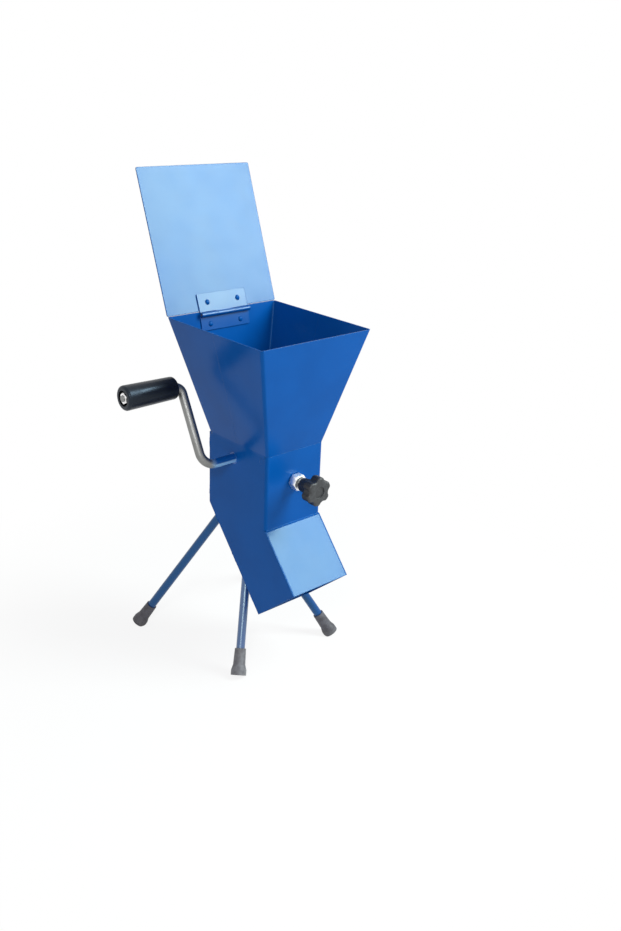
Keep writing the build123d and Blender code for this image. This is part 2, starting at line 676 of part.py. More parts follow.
save(hinge_rivets(WALL_PLANE, WALL_SEAT, WALL_RIVET_OUT), "hinge_wall_rivets")

with BuildPart() as hinge_pin:
    with BuildSketch(Plane.YZ):
        with Locations((HINGE_Y, HINGE_Z)):
            Circle(HINGE_PIN_R)
    extrude(amount=HINGE_LENGTH / 2, both=True)
save(hinge_pin, "hinge_pin")

# Legs and their rubber caps
for end_name, foot, top in (("front", FRONT_FOOT, FRONT_TOP), ("rear", REAR_FOOT, REAR_TOP)):
    for side_name, side in (("left", -1), ("right", 1)):
        save(leg_rod(foot, top, side), f"leg_{end_name}_{side_name}")
        save(foot_cap(foot, top, side), f"cap_{end_name}_{side_name}")
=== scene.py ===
"""Hazelnut cracker, dressed: finishes for its solids, weld beads, thread, hexagon nuts, studio and camera.

Metres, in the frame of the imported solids: floor at z = 0, front towards -Y, crank on the -X side.
"""
import logging
import random
from abc import ABC, abstractmethod
from dataclasses import dataclass, replace
from enum import Enum
from math import cos, pi, radians, sin, sqrt, tan
from typing import Any, Callable, Mapping, Optional, Sequence, Union

import bpy
from mathutils import Matrix, Vector


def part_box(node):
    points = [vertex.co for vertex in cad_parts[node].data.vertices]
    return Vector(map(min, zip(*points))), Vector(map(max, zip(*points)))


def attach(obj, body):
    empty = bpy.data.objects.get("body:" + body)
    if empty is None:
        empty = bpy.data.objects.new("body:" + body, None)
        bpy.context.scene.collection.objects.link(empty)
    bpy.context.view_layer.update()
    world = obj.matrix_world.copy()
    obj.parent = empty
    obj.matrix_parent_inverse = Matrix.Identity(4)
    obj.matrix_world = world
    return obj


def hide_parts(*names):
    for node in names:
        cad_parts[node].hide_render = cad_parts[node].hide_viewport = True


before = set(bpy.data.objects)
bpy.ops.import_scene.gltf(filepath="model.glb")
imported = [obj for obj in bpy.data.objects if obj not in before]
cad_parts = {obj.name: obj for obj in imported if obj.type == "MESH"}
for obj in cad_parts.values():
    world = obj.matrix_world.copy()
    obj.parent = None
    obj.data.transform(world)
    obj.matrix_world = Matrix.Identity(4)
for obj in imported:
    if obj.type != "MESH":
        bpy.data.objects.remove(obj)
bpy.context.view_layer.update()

LOG = logging.getLogger("hazelnut_cracker")

Colour = tuple[float, float, float, float]
Range = tuple[float, float]
Number = Union[float, "Value"]
Key = Union[str, int]

WHITE: Colour = (1, 1, 1, 1)
ORIGIN = (0, 0, 0)
X_WAY, Y_WAY, Z_WAY = Vector((1, 0, 0)), Vector((0, 1, 0)), Vector((0, 0, 1))
# A length too small to see, one below which points are merged, and how far a cutter reaches past its cut
HAIR = 1e-5
CRUMB = 2e-5
CUT_PAST = 0.001
# A place off every plane of symmetry, from which points are sorted
SORT_FROM = (0.31, -0.53, 0.17)


def middle(node: str) -> Vector:
    """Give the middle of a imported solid's box."""
    low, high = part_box(node)
    return (low + high) / 2


def entry(node: str, axis: Vector) -> Vector:
    """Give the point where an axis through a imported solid's middle enters its box."""
    low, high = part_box(node)
    return (low + high) / 2 - axis * abs((high - low).dot(axis)) / 2


class Slot(Enum):
    """The record's material slots of the new pieces."""

    BLUE_PAINT = "blue_paint"
    ZINC_STEEL = "zinc_steel"
    BRIGHT_PLATE = "bright_plate"


class Body(Enum):
    """The bodies that new pieces ride on."""

    FRAME = "frame"
    CRANK = "crank"
    ADJUSTER = "adjuster"


class Side(Enum):
    """The crank's side and the other one, as the sign of X."""

    LEFT = -1
    RIGHT = 1

    @property
    def word(self) -> str:
        """Give the side's word in the names of pieces."""
        return self.name.lower()


class End(Enum):
    """The knob's end and the other one."""

    FRONT = "front"
    REAR = "rear"


class Axis(Enum):
    """The frame's axes."""

    X = "X"
    Y = "Y"
    Z = "Z"


class Pick(Enum):
    """What an edit-mode selection is made of."""

    POINTS = "VERT"
    EDGES = "EDGE"
    FACES = "FACE"


class Merge(Enum):
    """How a tool piece acts on another piece."""

    JOIN = "UNION"
    CUT = "DIFFERENCE"
    TRIM = "INTERSECT"


class Value:
    """A number that varies over a surface: one node output, whose arithmetic adds Math nodes."""

    def __init__(self, tree: bpy.types.NodeTree, socket: Optional[bpy.types.NodeSocket]) -> None:
        """Wrap one output socket of a node tree."""
        self.tree = tree
        self.socket = socket

    def math(self, operation: str, first: Number, second: Number) -> "Value":
        """Add a Math node.

        Args:
            operation: Blender's name of the operation, such as "ADD".
            first: the left-hand term.
            second: the right-hand term.

        Returns:
            The node's result.
        """
        node = self.tree.nodes.new("ShaderNodeMath")
        node.operation = operation
        for socket, term in zip(node.inputs, (first, second)):
            plug(self.tree, socket, term)
        return Value(self.tree, node.outputs[0])

    def __add__(self, other: Number) -> "Value":
        """Add a value or a number."""
        return self.math("ADD", self, other)

    def __radd__(self, other: Number) -> "Value":
        """Add to a number."""
        return self.math("ADD", other, self)

    def __sub__(self, other: Number) -> "Value":
        """Take a value or a number away."""
        return self.math("SUBTRACT", self, other)

    def __rsub__(self, other: Number) -> "Value":
        """Take from a number."""
        return self.math("SUBTRACT", other, self)

    def __mul__(self, other: Number) -> "Value":
        """Multiply by a value or a number."""
        return self.math("MULTIPLY", self, other)

    def __rmul__(self, other: Number) -> "Value":
        """Multiply a number."""
        return self.math("MULTIPLY", other, self)

    def __abs__(self) -> "Value":
        """Drop the sign."""
        return self.math("ABSOLUTE", self, 0.0)

    def at_least(self, other: Number) -> "Value":
        """Keep the larger of two."""
        return self.math("MAXIMUM", self, other)


def plug(tree: bpy.types.NodeTree, socket: bpy.types.NodeSocket, term: Any) -> None:
    """Fill an input socket.

    Args:
        tree: the node tree that it is in.
        socket: the input.
        term: a value, which is linked, or a number, colour or vector, which is written into it.
    """
    if isinstance(term, Value):
        tree.links.new(term.socket, socket)
    else:
        socket.default_value = term


class Graph:
    """A node tree being built."""

    def __init__(self, tree: bpy.types.NodeTree) -> None:
        """Start with an empty tree."""
        self.tree = tree
        self.tree.nodes.clear()

    @staticmethod
    def socket(sockets: Sequence[bpy.types.NodeSocket], key: Key) -> bpy.types.NodeSocket:
        """Find a socket.

        Args:
            sockets: a node's inputs or outputs.
            key: the socket's number, identifier or name.

        Returns:
            The socket.
        """
        if isinstance(key, int):
            return sockets[key]
        return next(one for one in sockets if key in (one.identifier, one.name))

    def node(
        self,
        kind: str,
        settings: Optional[Mapping[str, Any]] = None,
        sockets: Optional[Mapping[Key, Any]] = None,
        out: Key = 0,
    ) -> Value:
        """Add any node.

        Args:
            kind: Blender's type name of the node.
            settings: the node's own settings, set first.
            sockets: what goes into its sockets, numbers or values.
            out: which output to hand on.

        Returns:
            That output.
        """
        node = self.tree.nodes.new(kind)
        for key, setting in (settings or {}).items():
            setattr(node, key, setting)
        for key, term in (sockets or {}).items():
            plug(self.tree, self.socket(node.inputs, key), term)
        return Value(self.tree, self.socket(node.outputs, out) if node.outputs else None)

    def mix(self, share: Number, first: Any, second: Any) -> Value:
        """Blend two colours.

        Args:
            share: how much of the second one shows.
            first: a colour, written or from a node.
            second: the other colour.

        Returns:
            The blended colour.
        """
        sockets = {"Factor_Float": share, "A_Color": first, "B_Color": second}
        return self.node("ShaderNodeMix", {"data_type": "RGBA"}, sockets, "Result_Color")

    def ease(self, value: Value, low: float, high: float) -> Value:
        """Ease a value from 0 at low to 1 at high."""
        sockets = {"Value": value, "From Min": low, "From Max": high}
        return self.node("ShaderNodeMapRange", {"interpolation_type": "SMOOTHSTEP"}, sockets)


@dataclass(frozen=True, kw_only=True)
class Effect:
    """What a pattern does where it is full: the share of its own colour, and how much rougher it is."""

    share: float = 1
    rough: float = 0


@dataclass(frozen=True)
class Patches(Effect):
    """Soft blotches: how many in a metre, their finer layers, and where they begin and are full."""

    count: float
    layers: float
    low: float
    high: float


@dataclass(frozen=True)
class Wear(Effect):
    """Rubbed edges: reach and weight, the specks that break them up, and where wear begins and is full."""

    reach: float
    weight: float
    speck_count: float
    speck_weight: float
    low: float
    high: float
    speck_layers: float = 3


@dataclass(frozen=True)
class Spangle(Effect):
    """Zinc's crystals: how many there are in a metre."""

    count: float


@dataclass(frozen=True)
class Relief(Effect):
    """Relief: how much shows, its depth, its bumps in a metre along each axis and their finer layers."""

    strength: float
    depth: float
    counts: tuple[float, float, float] = (1, 1, 1)
    layers: float = 2


class Surface(Graph):
    """A material being built, with patterns on the object's own coordinates."""

    edge_samples: int = 6

    def __init__(self, name: str) -> None:
        """Start a new material.

        Args:
            name: the material's name.
        """
        self.material = bpy.data.materials.new(name)
        self.material.use_nodes = True
        super().__init__(self.material.node_tree)
        self.place = self.node("ShaderNodeTexCoord", out="Object")

    def coordinate(self, axis: Axis) -> Value:
        """Give one of the object's coordinates."""
        return self.node("ShaderNodeSeparateXYZ", None, {0: self.place}, axis.value)

    def noise(self, count: float, layers: float, place: Optional[Value] = None) -> Value:
        """Add a noise pattern.

        Args:
            count: how many blotches there are in a metre.
            layers: how many finer layers it has.
            place: the coordinates it lies on, the object's own if none are given.

        Returns:
            The pattern, from 0 to 1.
        """
        sockets = {"Vector": place or self.place, "Scale": count, "Detail": layers}
        return self.node("ShaderNodeTexNoise", None, sockets)

    def patches(self, blotch: Patches) -> Value:
        """Add soft blotches, from 0 to 1."""
        return self.ease(self.noise(blotch.count, blotch.layers), blotch.low, blotch.high)

    def spangle(self, zinc: Spangle) -> Value:
        """Add zinc's crystals, each with its own grey, from 0 to 1."""
        sockets = {"Vector": self.place, "Scale": zinc.count}
        cells = self.node("ShaderNodeTexVoronoi", None, sockets, "Color")
        return self.node("ShaderNodeSeparateXYZ", None, {0: cells}, "X")

    def soft_edges(self, radius: float) -> Value:
        """Give normals that are rounded over at edges, by a radius."""
        return self.node("ShaderNodeBevel", {"samples": self.edge_samples}, {"Radius": radius})

    def wear(self, rub: Wear) -> Value:
        """Find the rubbed edges.

        Args:
            rub: how they wear.

        Returns:
            The wear, from 0 on a flat face to 1 where the surface turns away.
        """
        normal = self.node("ShaderNodeNewGeometry", out="Normal")
        sockets = {0: self.soft_edges(rub.reach), 1: normal}
        edges = 1 - self.node("ShaderNodeVectorMath", {"operation": "DOT_PRODUCT"}, sockets, "Value")
        specks = self.noise(rub.speck_count, rub.speck_layers)
        return self.ease(edges * rub.weight + specks * rub.speck_weight, rub.low, rub.high)

    def grain(self, relief: Relief) -> Value:
        """Add a relief's own pattern, from 0 to 1."""
        place = self.node("ShaderNodeMapping", None, {"Vector": self.place, "Scale": relief.counts})
        return self.noise(1.0, relief.layers, place)

    def bump(self, relief: Relief, normal: Value, height: Optional[Value] = None) -> Value:
        """Add relief.

        Args:
            relief: what it is like.
            normal: the rounded edges or other relief that it lies on.
            height: the pattern that rises, the relief's own grain if none is given.

        Returns:
            The normal with the relief.
        """
        sockets = {"Height": height or self.grain(relief), "Normal": normal}
        sockets |= {"Strength": relief.strength, "Distance": relief.depth}
        return self.node("ShaderNodeBump", None, sockets)

    def finish(
        self,
        colour: Any,
        roughness: Number,
        metallic: Number,
        normal: Value,
        fixed: Optional[Mapping[str, Any]] = None,
    ) -> bpy.types.Material:
        """Close the material with its shader.

        Args:
            colour: the base colour.
            roughness: from 0, polished, to 1, dull.
            metallic: 1 for bare metal, 0 for paint, plastic and rubber.
            normal: the surface's relief.
            fixed: other shader sockets that are the same all over.

        Returns:
            The finished material.
        """
        sockets = {"Base Color": colour, "Roughness": roughness, "Metallic": metallic, "Normal": normal}
        shader = self.node("ShaderNodeBsdfPrincipled", None, {**sockets, **(fixed or {})})
        self.node("ShaderNodeOutputMaterial", None, {"Surface": shader})
        return self.material


class Finish(ABC):
    """A finish, which makes one material."""

    @abstractmethod
    def make(self) -> bpy.types.Material:
        """Build the material."""


@dataclass(frozen=True)
class GlossEnamel(Finish):
    """Blue gloss enamel on sheet steel, slightly wavy, with orange peel and worn edges."""

    colour: Colour = (0.001, 0.072, 0.307, 1)
    deep: Colour = (0.001, 0.064, 0.277, 1)
    worn: Colour = (0.050, 0.170, 0.390, 1)
    sheen: Colour = (0.55, 0.98, 1.0, 1)
    level: float = 0.10
    rough: float = 0.22
    coat: float = 0.0
    coat_rough: float = 0.40
    coat_ior: float = 1.9
    fold: float = 0.0010
    clouds: Patches = Patches(16, 3, 0.30, 0.70, rough=0.02)
    dulled: Patches = Patches(38, 4, 0.35, 0.80, rough=0.03)
    rubbed: Wear = Wear(0.0009, 1.6, 260, 1.1, 0.86, 1.20, share=0.45, rough=0.08)
    waves: Relief = Relief(0.30, 0.004, (6,) * 3, 1)
    peel: Relief = Relief(0.04, 0.0003, (650,) * 3, 2)
    name: str = "blue_gloss_enamel"

    def make(self) -> bpy.types.Material:
        """Build the enamel.

        Returns:
            The material.
        """
        skin = Surface(self.name)
        cloud, dull, rub = skin.patches(self.clouds), skin.patches(self.dulled), skin.wear(self.rubbed)
        colour = skin.mix(cloud, self.deep, self.colour)
        colour = skin.mix(self.rubbed.share * rub, colour, self.worn)
        rough = self.rough + self.clouds.rough * cloud + self.dulled.rough * dull + self.rubbed.rough * rub
        relief = skin.bump(self.waves, skin.soft_edges(self.fold))
        relief = skin.bump(self.peel, relief)
        fixed = {"Specular IOR Level": self.level, "Specular Tint": self.sheen}
        if self.coat:
            fixed["Coat Weight"] = self.coat
            fixed["Coat Roughness"] = self.coat_rough
            fixed["Coat IOR"] = self.coat_ior
        return skin.finish(colour, rough, 0.0, relief, fixed)


@dataclass(frozen=True)
class ZincBar(Finish):
    """Zinc-plated steel, satin grey with a faint spangle.

    Between its bend and the wall the crank's shaft is smoother and half metallic, with a painted highlight
    below its axis and the wall's blue above it as a painted reflection.
    """

    shaft_z: float
    colour: Colour = (0.265, 0.270, 0.265, 1)
    dark: Colour = (0.215, 0.218, 0.212, 1)
    # Painted light on the shaft: its pale blue painted highlight, and the wall's blue that it shows as a
    # painted reflection
    polished: Colour = (0.42, 0.74, 1.0, 1)
    paint: Colour = (0.001, 0.068, 0.290, 1)
    rough: float = 0.42
    polish: float = 0.12
    fold: float = 0.0005
    shaft_nonmetal_share: float = 0.50
    crystals: Spangle = Spangle(210, share=0.25, rough=0.05)
    bend_x: Range = (-0.089, -0.077)
    wall_x: Range = (-0.046, -0.040)
    spray: Range = (-0.0012, 0.0016)
    smeared: Patches = Patches(42, 4, 0.42, 0.68, share=0.65, rough=0.06)
    drawing: Relief = Relief(0.15, 0.00008, (900, 900, 260), 3, rough=-0.03)
    dents: Relief = Relief(0.12, 0.0004, (70,) * 3, 2)

    def make(self) -> bpy.types.Material:
        """Build the zinc.

        Returns:
            The material.
        """
        skin = Surface("satin_zinc_steel")
        grey, smear = skin.spangle(self.crystals), skin.patches(self.smeared)
        marks = skin.grain(self.drawing)
        along, height = skin.coordinate(Axis.X), skin.coordinate(Axis.Z) - self.shaft_z
        # Painted light between the bend and the wall: a pale blue painted highlight below the shaft's
        # axis, and the wall's blue above it as a painted reflection
        shaft = skin.ease(along, *self.bend_x) * (1 - skin.ease(along, *self.wall_x))
        painted = shaft * skin.ease(height, *self.spray)
        colour = skin.mix(self.smeared.share * smear + self.crystals.share * grey, self.colour, self.dark)
        colour = skin.mix(shaft, colour, self.polished)
        colour = skin.mix(painted, colour, self.paint)
        rough = self.rough - self.polish * shaft + self.smeared.rough * smear
        rough = rough + self.crystals.rough * grey + self.drawing.rough * marks
        relief = skin.bump(self.drawing, skin.soft_edges(self.fold), marks)
        relief = skin.bump(self.dents, relief)
        return skin.finish(colour, rough, (1 - self.shaft_nonmetal_share * shaft) * (1 - painted), relief)


@dataclass(frozen=True)
class BrightPlate(Finish):
    """Bright plated steel of the hexagon nuts and the threaded bush, with fine turning marks."""

    colour: Colour = (0.92, 0.92, 0.92, 1)
    tarnish: Colour = (0.72, 0.71, 0.69, 1)
    rough: float = 0.38
    fold: float = 0.0004
    stained: Patches = Patches(150, 4, 0.50, 0.72, share=0.6, rough=0.10)
    turning: Relief = Relief(0.15, 0.00008, (1400,) * 3, 2, rough=0.05)

    def make(self) -> bpy.types.Material:
        """Build the plating.

        Returns:
            The material.
        """
        skin = Surface("bright_plated_steel")
        stain, marks = skin.patches(self.stained), skin.grain(self.turning)
        colour = skin.mix(self.stained.share * stain, self.colour, self.tarnish)
        rough = self.rough + self.stained.rough * stain + self.turning.rough * marks
        relief = skin.bump(self.turning, skin.soft_edges(self.fold), marks)
        return skin.finish(colour, rough, 1.0, relief)


@dataclass(frozen=True)
class GripPlastic(Finish):
    """Black moulded plastic of the hand grip, worn smooth by use, with a parting line on its two sides."""

    axis_z: float
    colour: Colour = (0.0030, 0.0031, 0.0036, 1)
    scuffed: Colour = (0.012, 0.0125, 0.014, 1)
    sheen: Colour = (0.55, 0.74, 1.0, 1)
    level: float = 0.42
    rough: float = 0.30
    fold: float = 0.0006
    hazed: Patches = Patches(34, 3, 0.35, 0.70, share=0.20, rough=0.10)
    rubbed: Wear = Wear(0.0012, 2.0, 300, 0.8, 0.75, 1.1, share=0.40, rough=0.06)
    parting: Relief = Relief(0.4, 0.0002)
    parting_edge: Range = (0.0001, 0.0006)

    def make(self) -> bpy.types.Material:
        """Build the plastic.

        Returns:
            The material.
        """
        skin = Surface("black_grip_plastic")
        haze, rub = skin.patches(self.hazed), skin.wear(self.rubbed)
        colour = skin.mix(self.hazed.share * haze + self.rubbed.share * rub, self.colour, self.scuffed)
        rough = self.rough + self.hazed.rough * haze + self.rubbed.rough * rub
        line = 1 - skin.ease(abs(skin.coordinate(Axis.Z) - self.axis_z), *self.parting_edge)
        relief = skin.bump(self.parting, skin.soft_edges(self.fold), line)
        fixed = {"Specular IOR Level": self.level, "Specular Tint": self.sheen}
        return skin.finish(colour, rough, 0.0, relief, fixed)


@dataclass(frozen=True)
class KnobPlastic(Finish):
    """Dark pressed plastic of the lobed knob, rubbed grey along its edges; its face is greyed as painted
    light and its sides kept dark as painted shade.
    """

    face_y: float
    colour: Colour = (0.0070, 0.0075, 0.0090, 1)
    grey: Colour = (0.098, 0.102, 0.110, 1)
    rough: float = 0.40
    fold: float = 0.0007
    face_depth: Range = (0.0015, 0.0045)
    shaded_side_share: float = 0.08
    painted_face_light: float = 0.18
    mottled: Patches = Patches(240, 4, 0.40, 0.70, share=0.20, rough=0.18)
    rubbed: Wear = Wear(0.0018, 1.8, 380, 0.7, 0.42, 1.0, share=0.32, rough=0.10)
    pits: Relief = Relief(0.20, 0.00015, (1300,) * 3, 3)

    def make(self) -> bpy.types.Material:
        """Build the plastic.

        Returns:
            The material.
        """
        skin = Surface("dark_knob_plastic")
        mottle, rub = skin.patches(self.mottled), skin.wear(self.rubbed)
        # Painted light and shade: the face is greyed as if lit, and on the sides the grey and the wear are
        # cut to a small share as painted shade
        face = 1 - skin.ease(skin.coordinate(Axis.Y) - self.face_y, *self.face_depth)
        reach = self.shaded_side_share + (1 - self.shaded_side_share) * face
        wear_and_face_light = self.painted_face_light + self.rubbed.share * rub + self.mottled.share * mottle
        colour = skin.mix(wear_and_face_light * reach, self.colour, self.grey)
        rough = self.rough + self.mottled.rough * mottle + self.rubbed.rough * rub
        relief = skin.bump(self.pits, skin.soft_edges(self.fold))
        return skin.finish(colour, rough, 0.0, relief)


@dataclass(frozen=True)
class CapRubber(Finish):
    """Grey moulded rubber of the foot caps, with a skin of fine pits and floor dust near the ground."""

    colour: Colour = (0.180, 0.180, 0.195, 1)
    dark: Colour = (0.115, 0.112, 0.125, 1)
    dust: Colour = (0.280, 0.270, 0.260, 1)
    level: float = 0.4
    rough: float = 0.52
    fold: float = 0.0009
    dust_z: Range = (0.001, 0.016)
    mottled: Patches = Patches(110, 4, 0.35, 0.65, rough=0.14)
    dusted: Patches = Patches(330, 3, 0.38, 0.62, share=0.55, rough=0.16)
    pits: Relief = Relief(0.35, 0.00022, (900,) * 3, 3)
    dents: Relief = Relief(0.25, 0.0008, (60,) * 3, 2)
    name: str = "grey_cap_rubber"

    def make(self) -> bpy.types.Material:
        """Build the rubber.

        Returns:
            The material.
        """
        skin = Surface(self.name)
        mottle = skin.patches(self.mottled)
        dusty = (1 - skin.ease(skin.coordinate(Axis.Z), *self.dust_z)) * skin.patches(self.dusted)
        colour = skin.mix(mottle, self.dark, self.colour)
        colour = skin.mix(self.dusted.share * dusty, colour, self.dust)
        rough = self.rough + self.mottled.rough * mottle + self.dusted.rough * dusty
        relief = skin.bump(self.pits, skin.soft_edges(self.fold))
        relief = skin.bump(self.dents, relief)
        return skin.finish(colour, rough, 0.0, relief, {"Specular IOR Level": self.level})


@dataclass(frozen=True)
class BareIron(Finish):
    """Bare cracking iron, machined, darkened by oil and bright where it rubs."""

    colour: Colour = (0.235, 0.225, 0.210, 1)
    dark: Colour = (0.095, 0.078, 0.062, 1)
    bright: Colour = (0.420, 0.410, 0.390, 1)
    rough: float = 0.44
    fold: float = 0.0005
    oiled: Patches = Patches(48, 4, 0.40, 0.66, rough=0.14)
    rubbed: Wear = Wear(0.0010, 2.0, 420, 0.6, 0.50, 1.0, share=0.8, rough=-0.14)
    milling: Relief = Relief(0.30, 0.00012, (1600, 70, 70), 2)
    pits: Relief = Relief(0.22, 0.0002, (520,) * 3, 4)

    def make(self) -> bpy.types.Material:
        """Build the iron.

        Returns:
            The material.
        """
        skin = Surface("bare_cracking_iron")
        oil, rub = skin.patches(self.oiled), skin.wear(self.rubbed)
        colour = skin.mix(oil, self.colour, self.dark)
        colour = skin.mix(self.rubbed.share * rub, colour, self.bright)
        rough = self.rough + self.oiled.rough * oil + self.rubbed.rough * rub
        relief = skin.bump(self.milling, skin.soft_edges(self.fold))
        relief = skin.bump(self.pits, relief)
        return skin.finish(colour, rough, 1.0, relief)


@dataclass(frozen=True)
class BushBrass(Finish):
    """Turned bearing brass, browned by grease inside and painted over outside the wall."""

    colour: Colour = (0.720, 0.500, 0.190, 1)
    brown: Colour = (0.300, 0.180, 0.060, 1)
    paint: Colour = (0.001, 0.082, 0.340, 1)
    rough: float = 0.26
    fold: float = 0.0004
    paint_x: Range = (0.0470, 0.0474)
    stained: Patches = Patches(170, 4, 0.42, 0.70, share=0.7, rough=0.10)
    turning: Relief = Relief(0.18, 0.0001, (60, 1500, 1500), 2, rough=0.06)

    def make(self) -> bpy.types.Material:
        """Build the brass.

        Returns:
            The material.
        """
        skin = Surface("bush_brass")
        stain, marks = skin.patches(self.stained), skin.grain(self.turning)
        painted = skin.ease(abs(skin.coordinate(Axis.X)), *self.paint_x)
        colour = skin.mix(self.stained.share * stain, self.colour, self.brown)
        colour = skin.mix(painted, colour, self.paint)
        rough = self.rough + self.stained.rough * stain + self.turning.rough * marks
        relief = skin.bump(self.turning, skin.soft_edges(self.fold), marks)
        return skin.finish(colour, rough, 1 - painted, relief)


class Bench:
    """Hand tools: each call works on one piece and on nothing else that is selected."""

    @staticmethod
    def clear() -> None:
        """Deselect every object."""
        bpy.ops.object.select_all(action="DESELECT")

    @staticmethod
    def hold(piece: bpy.types.Object) -> None:
        """Make one piece the only selected and the active object.

        Args:
            piece: the piece.
        """
        Bench.clear()
        piece.select_set(True)
        bpy.context.view_layer.objects.active = piece

    @staticmethod
    def pick(piece: bpy.types.Object, what: Pick, test: Callable[[Vector], bool]) -> None:
        """Enter edit mode with some points, edges or faces selected.

        Args:
            piece: the piece to work on.
            what: the kind of selection.
            test: says of a point, or of an edge's or face's middle, whether it is picked.
        """
        Bench.hold(piece)
        bpy.ops.object.mode_set(mode="EDIT")
        bpy.ops.mesh.select_mode(type=what.value)
        bpy.ops.mesh.select_all(action="DESELECT")
        bpy.ops.object.mode_set(mode="OBJECT")
        mesh = piece.data
        if what is Pick.POINTS:
            for point in mesh.vertices:
                point.select = test(point.co)
        elif what is Pick.FACES:
            for face in mesh.polygons:
                face.select = test(face.center)
        else:
            for edge in mesh.edges:
                first, second = (mesh.vertices[one].co for one in edge.vertices)
                edge.select = test((first + second) / 2)
        bpy.ops.object.mode_set(mode="EDIT")

    @staticmethod
    def put_down() -> None:
        """Leave edit mode."""
        bpy.ops.object.mode_set(mode="OBJECT")

    @staticmethod
    def rod(radius: float, low: float, high: float, sides: int = 48) -> bpy.types.Object:
        """Start a piece from a rod along Z.

        Args:
            radius: its radius.
            low: the height where it starts.
            high: the height where it ends.
            sides: how many sides it has.

        Returns:
            The rod.
        """
        Bench.clear()
        at = (0, 0, (low + high) / 2)
        bpy.ops.mesh.primitive_cylinder_add(vertices=sides, radius=radius, depth=high - low, location=at)
        bpy.ops.object.transform_apply(location=True, rotation=True, scale=True)
        return bpy.context.object

    @staticmethod
    def apply(piece: bpy.types.Object, kind: str, **settings: Any) -> None:
        """Add one modifier and apply it.

        Args:
            piece: the piece.
            kind: Blender's type name of the modifier.
            settings: the modifier's settings.
        """
        Bench.hold(piece)
        modifier = piece.modifiers.new(kind.lower(), kind)
        for key, setting in settings.items():
            setattr(modifier, key, setting)
        bpy.ops.object.modifier_apply(modifier=modifier.name)

    @staticmethod
    def combine(piece: bpy.types.Object, tool: bpy.types.Object, how: Merge) -> None:
        """Join, cut or trim a piece with a tool piece, which is used up."""
        Bench.apply(piece, "BOOLEAN", object=tool, operation=how.value, solver="EXACT")
        bpy.data.objects.remove(tool)

    @staticmethod
    def round_edges(piece: bpy.types.Object, width: float, angle: float) -> None:
        """Round the edges that turn by more than an angle in degrees."""
        limit = {"limit_method": "ANGLE", "angle_limit": radians(angle)}
        Bench.apply(piece, "BEVEL", width=width, segments=2, **limit)

    @staticmethod
    def stand(piece: bpy.types.Object, at: Vector, axis: Vector, side: Vector) -> None:
        """Place a finished piece, leaving its object at the origin.

        Args:
            piece: the piece, modelled along Z from the origin.
            at: where its origin goes.
            axis: where its Z goes.
            side: where its X goes.
        """
        turn = Matrix((side, axis.cross(side), axis)).transposed().to_4x4()
        piece.data.transform(Matrix.Translation(at) @ turn)
        piece.data.update()

    @staticmethod
    def clean(piece: bpy.types.Object) -> None:
        """Merge points that coincide and drop faces with no area.

        The points are sorted first, from a place off every plane of symmetry, so that each run
        merges the same ones.

        Args:
            piece: the piece.
        """
        cursor = bpy.context.scene.cursor
        Bench.pick(piece, Pick.POINTS, lambda point: True)
        cursor.location = SORT_FROM
        bpy.ops.mesh.sort_elements(type="CURSOR_DISTANCE", elements={"VERT", "EDGE", "FACE"})
        cursor.location = ORIGIN
        bpy.ops.mesh.remove_doubles(threshold=CRUMB)
        bpy.ops.mesh.dissolve_degenerate(threshold=CRUMB)
        Bench.put_down()

    @staticmethod
    def smooth(piece: bpy.types.Object, angle: float) -> None:
        """Shade a piece smooth up to an angle in degrees."""
        Bench.hold(piece)
        bpy.ops.object.shade_smooth_by_angle(angle=radians(angle))


